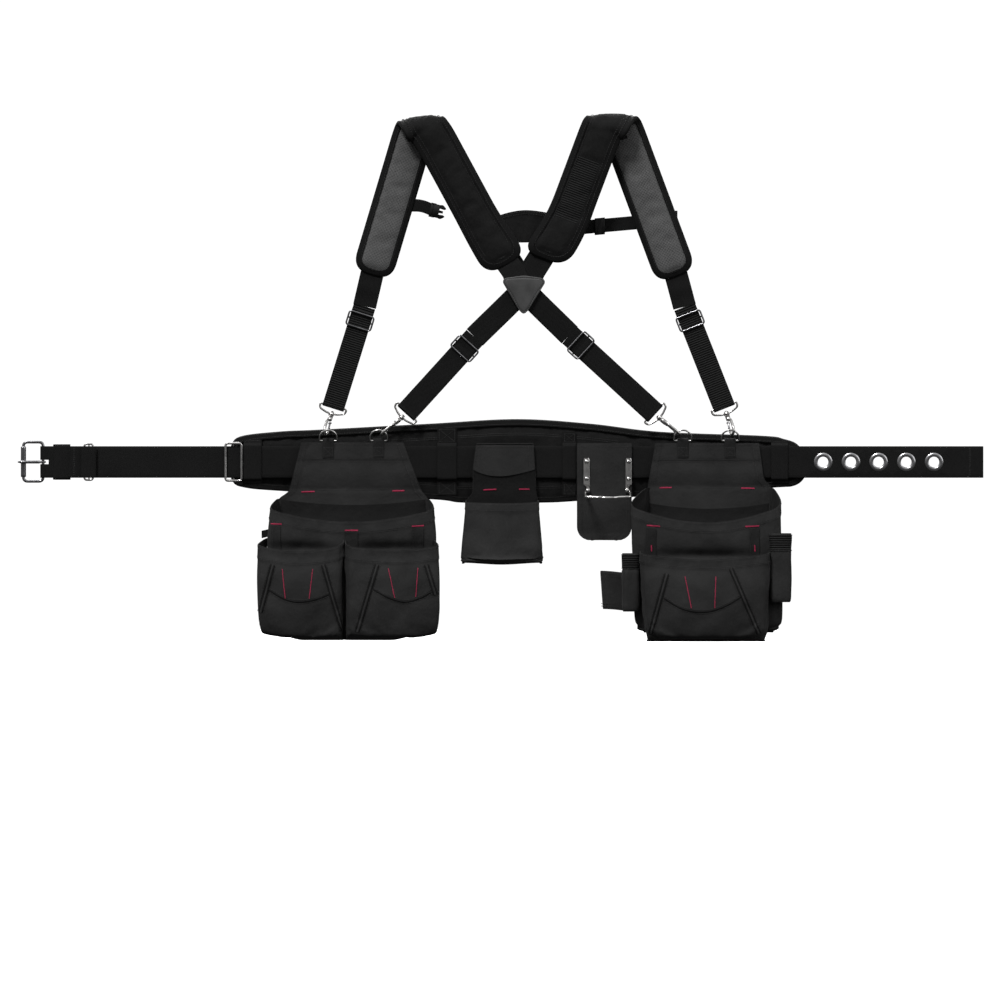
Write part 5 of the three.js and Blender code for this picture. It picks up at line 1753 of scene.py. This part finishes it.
def snap_hooks(looks):
    """The four hooks: an eye with its collar, a body and a sprung gate."""
    for name, end in ENDS.items():
        joint, axis = end["joint"], end["axis"]
        corners = [(EYE["half"], EYE["bar"]), (EYE["half"] - 1.7, 5.2), (9, 1.2), (3.4, 0.6)]
        corners = [(-v, u) for v, u in corners[::-1]] + corners
        line = [joint + end["across"] * v + end["up"] * u for v, u in corners]
        line = rounded(line, 3.4, False, 6)
        node = f"hook_eye_{name}"
        eye = Shape().wire(line, EYE["wire"], REAR, False, 12)
        collar = [(-2.8, 2.2), (-2.8, 3.8), (-2.2, 4.4), (2.2, 4.4), (2.8, 3.8), (2.8, 2.2),
                  (-2.8, 2.2)]
        eye.lathe(collar, joint, axis, 28)
        eye.build(f"{node}_wire", node, [looks["steel"]], node)

        sideways = unit(np.cross(REAR, axis))
        rearward = np.cross(axis, sideways)
        turn = math.radians(end["swivel"])
        gate_side = sideways * end["side"] * math.cos(turn) + rearward * math.sin(turn)
        normal = unit(np.cross(axis, gate_side))

        def at(height, side):
            return joint + axis * height + gate_side * side

        leg = HOOK["half"]
        bend = [(-11, 0), (-14, -1.5), (-18.5, -leg + 0.6), (-26, -leg), (-34, -leg),
                (-38.4, -leg + 1.2), (-41.4, -3.8), (-42.8, 0), (-41.4, 3.8),
                (-38.4, leg - 1.2), (-34, leg), (-31, leg)]
        node = f"snap_hook_{name}"
        line = smooth_path([at(*p) for p in bend], 60)
        hook = Shape().wire(line, HOOK["wire"], normal, False, 14)
        hook.lathe([(-12, 0.05), (-12, 1.6), (4, 1.6), (4, 0.05)], joint, axis, 16)
        hook.lathe([(3.4, 0.05), (3.4, 2.7), (4.4, 2.9), (5.2, 2.0), (5.4, 0.05)], joint, axis, 20)
        barrel = [(-14.4, 0.05), (-14.2, 2.6), (-13.2, 3.7), (-12, 3.9), (-5.4, 3.9), (-5.0, 3.5),
                  (-4.6, 3.9), (-3.8, 3.7), (-3.3, 3.1), (-3.3, 0.05)]
        hook.lathe(barrel, joint, axis, 28)
        hook.build(f"{node}_body", node, [looks["steel"]], node)

        node = f"hook_gate_{name}"
        line = smooth_path([at(-15.8, 4.6), at(-22, 6), at(-27, 6.6), at(-30.3, leg)], 20)
        gate = Shape().wire(line, 1.5, normal, False, 12)
        gate.lathe([(-2.6, 0.05), (-2.6, 1.1), (-2.2, 1.5), (2.2, 1.5), (2.6, 1.1), (2.6, 0.05)],
                   at(-15.8, 4.6), normal, 16)
        thumb = [(0, 0.05), (0, 1.3), (1.6, 1.2), (2.0, 0.7), (2.1, 0.05)]
        gate.lathe(thumb, at(-24, 7.4), gate_side, 14)
        gate.build(f"{node}_wire", node, [looks["gunmetal"]], node)


# ---- Suspenders ----
GLIDE = {"length": 26, "half": 22, "wire": 1.5}
LEFT_PAD = {"low": (-16, 314), "crease": (-149, 549), "high": (-228, 301),
            "width": 64, "radius": 11, "curve": 5, "spread": 1.6}
RIGHT_PAD = {"low": (61, 321), "crease": (157.5, 553), "high": (261, 299),
             "width": 66, "radius": 16, "curve": -15, "spread": 3.2}
PAD_MIDDLE = -46.0
PAD_ROUND = 27.0
PAD_BINDING = 8.5


class PadTrack:
    """The run of a shoulder pad: up its back half, over the fold and down its front half."""

    def __init__(self, low, crease, high, width, radius, curve, spread):
        self.width = width
        self.curve = curve
        low, crease, high = (vec(x, 0, z) for x, z in (low, crease, high))
        up, down = unit(crease - low), unit(high - crease)
        fold = unit(up + down)
        lift = up - fold * np.dot(up, fold)
        slip = np.dot(up, fold) / np.linalg.norm(lift)
        lift = unit(lift)

        def wrap(angle):
            over = fold * (radius * slip + spread) * (angle - math.pi / 2)
            over = over + lift * radius * (math.sin(angle) - 1)
            return crease + over + REAR * (PAD_MIDDLE + radius * (1 - math.cos(angle)))

        start, end = wrap(0), wrap(math.pi)
        low[1], high[1] = PAD_MIDDLE, end[1]
        angles = np.linspace(0, math.pi, 17)
        bend = np.array([wrap(a) for a in angles])
        outs = np.array([lift * math.sin(a) - REAR * math.cos(a) for a in angles])
        legs = [np.linspace(low, start, 60)[:-1], bend, np.linspace(end, high, 60)[1:]]
        self.at = np.vstack(legs)
        self.out = np.vstack([np.tile(-REAR, (59, 1)), outs, np.tile(REAR, (59, 1))])
        along = np.gradient(self.at, axis=0)
        self.across = unit(np.cross(along, self.out))
        self.s = lengths(self.at)
        self.length = self.s[-1]
        self.fold = self.s[67]
        self.low, self.high = low, high

    def place(self, s, v, w):
        """The point `s` along, `v` across and `w` out of the pad's middle."""
        at, across, out = (
            np.stack([np.interp(s, self.s, line[:, k]) for k in range(3)], axis=-1)
            for line in (self.at, self.across, self.out)
        )
        v = np.asarray(v) + self.lean(s)
        near_fold = np.exp(-(((np.asarray(s) - self.fold) / 29) ** 2))
        droop = 11 * np.abs(2 * v / self.width) ** 2.2 * near_fold
        placed = at + unit(across) * v[..., None] + unit(out) * np.asarray(w)[..., None]
        return placed - UP * droop[..., None]

    def lean(self, s):
        """How far the back half's end curves in towards the other pad."""
        return self.curve * np.clip(1 - np.asarray(s) / 95, 0, 1) ** 2

    def half_width(self, s, margin=0.0):
        fold = np.exp(-(((s - self.fold) / 34) ** 2))
        half = (self.width / 2) * (1 + 0.06 * fold + 0.1 * ease(1 - s / 110)) - margin
        near = np.clip(np.minimum(s, self.length - s) - margin, 0, PAD_ROUND)
        return half - PAD_ROUND * (1 - np.sqrt(near / PAD_ROUND)) ** 2

    def outline(self, margin, count=460):
        """The pad's outline as (s, v) points, `margin` inside its edge."""
        end = self.length
        s = np.concatenate([
            margin + PAD_ROUND * np.linspace(0, 1, 24) ** 2,
            np.linspace(margin + PAD_ROUND, end - margin - PAD_ROUND, 60)[1:-1],
            end - margin - PAD_ROUND * np.linspace(1, 0, 24) ** 2,
        ])
        v = self.half_width(s, margin)
        line = np.concatenate([np.stack([s, v], 1), np.stack([s, -v], 1)[::-1]])
        return resample(line, count, True)


def pad_outs(track, s):
    """The pad's outward directions at the distances `s`."""
    return unit(np.stack([np.interp(s, track.s, track.out[:, k]) for k in range(3)], axis=-1))


def shoulder_pad(name, node, facts, window, looks, seed):
    """Foam between a cloth outside and a mesh lining, bound all round."""
    track = PadTrack(**facts)
    ends = PAD_ROUND * np.linspace(0.02, 1, 10) ** 2
    middles = np.linspace(PAD_ROUND, track.length - PAD_ROUND, 104)[1:-1]
    s = np.concatenate([ends, middles, track.length - ends[::-1]])
    share = np.sin(np.linspace(-math.pi / 2, math.pi / 2, 22))
    v = track.half_width(s)[:, None] * share
    edge = track.outline(0, 300)
    where = np.stack([np.broadcast_to(s[:, None], v.shape), v], axis=2)
    inside = np.min(np.linalg.norm(where[:, :, None] - edge[None, None], axis=3), axis=2)
    thick = 2.0 + 3.6 * ease((inside - 3) / 13)
    groove = 1.3 * np.exp(-(((inside - 12.5) / 1.5) ** 2))
    in_window = np.zeros(v.shape)
    if window:
        start, end = window
        in_window = ease((s - start) / 4) * ease((end - s) / 4)
        in_window = in_window[:, None] * ease((inside - 14.5) / 2)
    s_wide = where[..., 0]
    outer = track.place(s_wide, v, thick - groove - 1.0 * in_window)
    inner = track.place(s_wide, v, -thick)
    ring = np.concatenate([outer, inner[:, ::-1]], axis=1)
    rows, columns = ring.shape[:2]
    count = v.shape[1]
    pins = np.zeros((rows, columns))
    tight = np.concatenate([inside, inside[:, ::-1]], axis=1)
    pins[tight < 7] = 1.0
    pins[(tight > 11) & (tight < 14)] = 0.75
    ring = settle(ring, pins, 0.01, 2.0, 0.0, 14, 2.6, True)
    outs = pad_outs(track, s)[:, None]
    loose = ease((tight - 8) / 8)
    side = np.concatenate([np.ones(count), -np.ones(count)])
    bump = (0.7 * wobble(ring, 45, seed) + 0.3 * wobble(ring, 15, seed + 1)) * loose * side
    ring = ring + outs * bump[..., None]
    faces_across = np.zeros(columns, int)
    faces_across[count - 1 : 2 * count] = 1
    look = np.tile(faces_across, rows - 1)
    if window:
        ribbed = np.zeros((rows - 1, columns), int)
        ribbed[:, : count - 1] = in_window[1:, 1:] > 0.5
        look = np.where(ribbed.ravel() > 0, 2, look)
    finishes = [looks[key] for key in ("pad_cloth", "mesh_lining", "ribbed_cloth")]
    pad = Shape().capped(ring, look).build(f"{name}_foam", node, finishes, node)

    line = track.outline(0.2)
    centres = track.place(line[:, 0], line[:, 1], np.zeros(len(line)))
    _, across, out = directions(centres, pad_outs(track, line[:, 0]), True)
    toward = track.place(*track.outline(3.0).T, np.zeros(len(line))) - centres
    facing_in = np.sign(np.mean(np.sum(across * toward, axis=1)))
    wrap = [(-1.3, 0.0), (-0.8, 2.4), (1.2, 3.6), (PAD_BINDING, 5.0), (PAD_BINDING + 0.3, 4.0),
            (2.0, 2.4), (1.0, 0.0), (2.0, -2.4), (PAD_BINDING + 0.3, -4.0), (PAD_BINDING, -5.0),
            (1.2, -3.6), (-0.8, -2.4)]
    tape = Shape().sweep(centres, across, out, [(facing_in * a, b) for a, b in wrap], True)
    tape.build(f"{name}_binding", node, [looks["binding"]])

    threads = Threads()
    for margin, depths, sink in ((PAD_BINDING - 1.6, (5.0, -5.0), 0.1), (12.5, (5.0,), 0.9)):
        line = track.outline(margin, 620)
        line = np.vstack([line, line[:1]])
        outs = pad_outs(track, line[:, 0])
        for depth in depths:
            points = track.place(line[:, 0], line[:, 1], np.full(len(line), depth - sink))
            threads.row(points, outs * np.sign(depth))
    threads.build(f"{name}_stitching", node, looks["black_thread"])
    return track


def strap_frame(start, end):
    """Along, across and out of a flat strap that faces the front."""
    along = unit(end - start)
    across = unit(np.cross(along, REAR))
    return along, across, np.cross(along, across)


def suspender_strap(name, end, route, glide, looks, stretchy):
    """Webbing from a pad down to the hook's bar, round it, and back up to the tri-glide."""
    place, side = name.split("_")
    node = f"{place}_strap_{side}"
    bar = end["bar"]
    towards, across, out = strap_frame(bar, glide)
    reach = np.linalg.norm(glide - bar)
    radius = 3.15
    turn = np.linspace(0.5 * math.pi, 1.5 * math.pi, 14)
    loop = [bar + towards * radius * math.cos(a) + out * radius * math.sin(a) for a in turn]
    front_run = [bar + towards * (reach + d) + out * lift for d, lift in
                 ((16, 1.6), (11, 1.4), (4, 1.0), (0, 0.6), (-5, 1.15), (-12, 1.25), (-30, 1.2))]
    rear_run = [bar + towards * (reach + d) - out * lift for d, lift in
                ((-30, 1.2), (-12, 1.2), (0, 1.4), (12, 1.3), (24, 0.9))]
    near, far = (bar + towards * 12 + out * lift for lift in (1.5, -1.5))
    doubled = smooth_path([*front_run, near, *loop, far, *rear_run], 170)
    if len(route) > 1:
        single = smooth_path([rear_run[-1], *route], 90)
    else:
        single = np.linspace(rear_run[-1], route[0], 60)
    first = Shape()
    add_ribbon(first, doubled, across, 35.8, 2.0)
    look = looks["elastic"] if stretchy else looks["webbing"]
    first.build(f"{node}_doubled", node, [look], node)
    _, along_across, _ = directions(single, -REAR)
    turned = np.sum(along_across * across, axis=1, keepdims=True) < 0
    along_across = np.where(turned, -along_across, along_across)
    second = Shape()
    ripple = np.sin(np.linspace(0, 9, len(single)))
    fade = np.sin(np.linspace(0, math.pi, len(single)))
    single_wave = single + REAR * (0.5 * ripple * fade)[:, None]
    add_ribbon(second, single_wave, along_across, WEB - 0.6, 2.0)
    second.build(f"{node}_webbing", node, [looks["webbing"]])
    transform = np.eye(4)
    transform[:3] = np.column_stack([towards, across, out, glide])
    tri = f"tri_glide_{name}"
    wire_slider(f"{tri}_wire", tri, looks["gunmetal"], transform, GLIDE["length"], GLIDE["half"],
                GLIDE["wire"], 4.4, 1.5)


def suspenders(looks):
    """Pads, straps with their tri-glides, yoke, patch and chest straps."""
    left = shoulder_pad("shoulder_pad_left", "shoulder_pad_left", LEFT_PAD, None, looks, 101)
    window = (72, 178)
    right = shoulder_pad("shoulder_pad_right", "shoulder_pad_right", RIGHT_PAD, window, looks, 111)

    def below(end, towards, gap):
        return end + unit(towards - end) * gap

    over, under = vec(15, -48.8, 277), vec(15, -43.6, 277)
    over_high, under_high = vec(-2, -48.8, 306), vec(32, -43.6, 306)
    glides = {
        "front_left": vec(-247, -19, 227), "back_left": vec(-79, -37, 182),
        "back_right": vec(107, -37, 187), "front_right": vec(283, -12.5, 227),
    }
    routes = {
        "front_left": [below(left.high, glides["front_left"], -4)],
        "back_left": [under, under_high, vec(42, -44, 322), vec(51, -44.5, 337)],
        "back_right": [over, over_high, vec(-13, -46.5, 322), vec(-23, -45.5, 337)],
        "front_right": [below(right.high, glides["front_right"], -4)],
    }
    for name, end in ENDS.items():
        suspender_strap(name, end, routes[name], glides[name], looks, name.startswith("front"))
    yoke(looks)
    patch(looks)
    chest_straps(looks)


def yoke(looks):
    """The doubled webbing that joins the two pads' back halves, with pleats and an edge fold."""
    top = smooth_path([(-46, 383), (-20, 396.5), (14, 403.5), (48.5, 400.5), (78, 392)], 40)
    bottom = smooth_path([(-28, 353), (0, 355), (4, 352), (26, 352), (30, 355), (70, 353)], 40)
    rows = 22
    share = np.linspace(0, 1, rows)[:, None, None]
    flat = top[None] * (1 - share) + bottom[None] * share
    grid = np.stack([flat[..., 0], np.full(flat.shape[:2], -38.9), flat[..., 1]], axis=2)
    folds = np.sin(flat[..., 0] / 5.2 + 0.6 * wobble(grid, 30, 5))
    pleats = 0.8 * folds * ease(share[..., 0] * 1.6)
    grid[..., 1] += pleats + 0.6 * wobble(grid, 30, 7)
    down = np.abs(flat[..., 1] - top[None, :, 1])
    grid[..., 1] -= 0.7 * ease((7 - down) / 1.5 + 0.5)
    shape = Shape().cloth(grid, 2.0)
    shape.build("yoke_cloth", "yoke", [looks["lining"]], "yoke")
    outline = [(-10, 300), (-14, 328), (0, 338), (5.2, 338.5), (15.3, 322), (27, 341), (34, 340),
               (46, 328), (42, 300)]
    gusset = Shape().plate(outline, -41.6, -40.1, 0.4)
    gusset.build("yoke_gusset", "yoke", [looks["webbing"]])
    threads = Threads()
    for distance in (2.5, 6.2):
        points, outs = below_rim(grid, distance)
        threads.row(points[1:-1], outs[1:-1])
    threads.build("yoke_stitching", "yoke", looks["black_thread"])


def patch(looks):
    """A moulded triangle with rounded lobes, sewn over the crossing straps."""
    corners = [(-18.6, 288), (-15.5, 294.5), (15.5, 298.6), (46.5, 294.5), (50.6, 288),
               (45.5, 279.5), (22.5, 242), (15.5, 236), (8.5, 242), (-13.5, 279.5)]
    outline = resample(rounded(corners, 5.0, True, 6), 130, True)
    middle = np.array([15.5, 276.0])
    rings = []
    profile = [(0.9, -50.6), (0.0, -51.4), (0.1, -52.4), (0.9, -53.0), (2.6, -53.1),
               (3.2, -52.6), (3.9, -53.1), (6.5, -53.2), (14, -53.3), (24, -53.4)]
    for inset, y in profile:
        inward = unit(middle - outline)
        reach = np.linalg.norm(middle - outline, axis=1, keepdims=True)
        line = outline + inward * np.minimum(inset, reach * 0.9)
        rings.append(np.column_stack([line[:, 0], np.full(len(line), y), line[:, 1]]))
    stack = np.array(rings)
    shape = Shape().capped(stack)
    shape.build("cross_patch_moulding", "cross_patch", [looks["patch"]], "cross_patch")
    threads = Threads()
    line = stack[5]
    line = np.vstack([line, line[:1]])
    threads.row(line, -REAR, 3.4, 2.6)
    threads.build("cross_patch_stitching", "cross_patch", looks["black_thread"])


def chest_straps(looks):
    """The left tab and the longer right strap, each with half a buckle."""
    left = Shape()
    path = smooth_path([(-163, 412), (-152, 411.4), (-142, 409), (-131.6, 404.4)], 14)
    centres = np.array([(x, -24.1, z) for x, z in path])
    _, across, _ = directions(centres, -REAR)
    add_ribbon(left, centres, across, np.linspace(20.5, 19, 14), 2.4)
    node = "chest_strap_left"
    left.build("chest_strap_left_webbing", node, [looks["webbing"]], node)

    buckle_half("chest_buckle_left", (-134.8, 405.2), (-110, 399.4), 23, (-28, -20), looks, True)
    buckle_half("chest_buckle_right", (100.6, 377), (61, 373.2), 21, (-8.6, -0.8), looks, False)

    right = Shape()
    centres = np.array([(x, -4.7 + 0.25 * math.sin(x / 14), z) for x, z in
                        np.linspace((103.5, 376.6), (256.5, 390.3), 50)])
    _, across, _ = directions(centres, -REAR)
    add_ribbon(right, centres, across, 22, 1.9)
    tail = np.array([(259.4 + 2.8 * math.cos(a), -4.7 + 1.6 * math.sin(a), 391.2)
                     for a in np.linspace(0, 2 * math.pi, 18, endpoint=False)])
    right.sweep(tail, np.broadcast_to(UP, tail.shape), unit(tail - tail.mean(axis=0)),
                [(-12.8, -0.7), (12.8, -0.7), (12.8, 0.7), (-12.8, 0.7)], True)
    node = "chest_strap_right"
    right.build("chest_strap_right_webbing", node, [looks["webbing"]], node)
    keeper = Shape()
    ring = resample(rounded([(130, -7.6), (146, -7.6), (146, -2.6), (130, -2.6)], 1.2), 30, True)
    loop = np.array([(x, y, 378.9 + (x - 138) * 0.09) for x, y in ring])
    keeper.sweep(loop, np.broadcast_to(UP, loop.shape), unit(loop - loop.mean(axis=0)),
                 [(-13.5, -0.3), (-13.2, 0.3), (13.2, 0.3), (13.5, -0.3)], True)
    keeper.build("chest_strap_right_adjuster", "chest_strap_right", [looks["plastic"]])


def buckle_half(node, start, end, width, depth, looks, male):
    """One half of a side-release buckle: a bar for the webbing, then prongs or a socket."""
    start, end = vec(start[0], 0, start[1]), vec(end[0], 0, end[1])
    along = unit(end - start)
    across = unit(np.cross(along, REAR))
    length = np.linalg.norm(end - start)
    front, back = depth
    half = width / 2

    def block(outline, near, far, bevel=0.7):
        points = [start + along * a + across * b for a, b in outline]
        return shape.plate([(p[0], p[2]) for p in points], near, far, bevel)

    shape = Shape()
    if male:
        block([(0, -half), (4, -half), (4, half), (0, half)], front + 1.6, back - 1.6)
        block([(3, 3 - half), (9, 3 - half), (9, half - 3), (3, half - 3)], front + 2.2, back - 2.2)
        for side in (-1, 1):
            shoulder = [(2, half), (8.6, half), (8.6, half - 3), (2, half - 3.5)]
            block([(a, side * b) for a, b in shoulder], front + 1.6, back - 1.6)
            arm = [(7.5, half - 2.5), (12, half - 2.2), (17, half), (20, half - 0.4),
                   (length - 1, half - 3.8), (length, half - 5.5), (length - 3, half - 7.2),
                   (16, half - 6.6), (12, half - 7), (7.5, half - 7)]
            block([(a, side * b) for a, b in arm], front + 1.9, back - 1.9)
        block([(5, 0.8 - half), (15, 0.8 - half), (15, half - 0.8), (5, half - 0.8)],
              front + 1.0, back - 1.0)
        block([(11, -2.6), (length - 4, -1.8), (length - 4, 1.8), (11, 2.6)],
              front + 2.4, back - 2.4, 0.5)
    else:
        block([(0, -half), (3, -half), (3, half), (0, half)], front + 1.8, back - 1.8)
        for side in (-1, 1):
            shoulder = [(2, half), (9, half), (9, half - 3), (2, half - 3)]
            block([(a, side * b) for a, b in shoulder], front + 1.8, back - 1.8)
        body = [(8, -half), (15, -half), (18, -half + 2.2), (29, -half + 2.2), (32, -half),
                (length - 2, -half + 0.8), (length, -half + 3)]
        body = body + [(a, -b) for a, b in body[::-1]]
        block(body, front, back, 1.4)
    shape.build(f"{node}_moulding", node, [looks["plastic"]], node)


# ---- The whole belt ----
def make_looks():
    """Every material, by the name the pieces use."""
    return {
        "webbing": ribbed_web("webbing", grey(10), grey(24), 2.4, 3.2),
        "elastic": elastic_web("elastic_webbing", grey(11), grey(32)),
        "canvas": woven_cloth("canvas", grey(28), grey(46), 1.1),
        "canvas_trim": woven_cloth("canvas_trim", grey(30), grey(52), 0.9),
        # Near-black cloth: the seams' folded edges, and the painted shadow in the tape pouch's
        # mouth.
        "shadow_cloth": woven_cloth("seam_and_shadow_cloth", grey(8), grey(16), 0.9),
        "canvas_dark": woven_cloth("canvas_dark", grey(20), grey(36), 0.9),
        # Also the colour of the dark sheets of painted shade inside the bags.
        "lining": woven_cloth("lining", grey(11), grey(22), 0.9),
        "pad_cloth": woven_cloth("pad_cloth", grey(9), grey(22), 0.9, crumple=0.7),
        "ribbed_cloth": elastic_web("ribbed_cloth", grey(10), grey(30)),
        "binding": ribbed_web("binding_tape", grey(10), grey(20), 1.6, 2.2, 0.2),
        "mesh_lining": mesh_lining(),
        "patch": moulded_patch(),
        "steel": plated("plated_steel", (0.64, 0.63, 0.62), 0.14, 0.32, 0.65),
        "gunmetal": plated("gunmetal", (0.28, 0.28, 0.29), 0.18, 0.36, 0.6),
        "eyelet_steel": plated("eyelet_steel", (0.4, 0.4, 0.41), 0.18, 0.36, 0.7),
        "plastic": moulded_plastic(),
        "black_thread": thread("black_thread", grey(14), grey(34)),
        "red_thread": thread("red_thread", (0.30, 0.012, 0.05), (0.42, 0.02, 0.075)),
    }


set_stage()
place_ends()
LOOKS = make_looks()
padded_belt(LOOKS)
belt_strap(LOOKS)
belt_loops(LOOKS)
belt_keeper(LOOKS)
buckle(LOOKS)
belt_sliders(LOOKS)
left_bag(LOOKS)
right_bag(LOOKS)
tape_pouch(LOOKS)
hammer_holder(LOOKS)
rings(LOOKS)
snap_hooks(LOOKS)
suspenders(LOOKS)
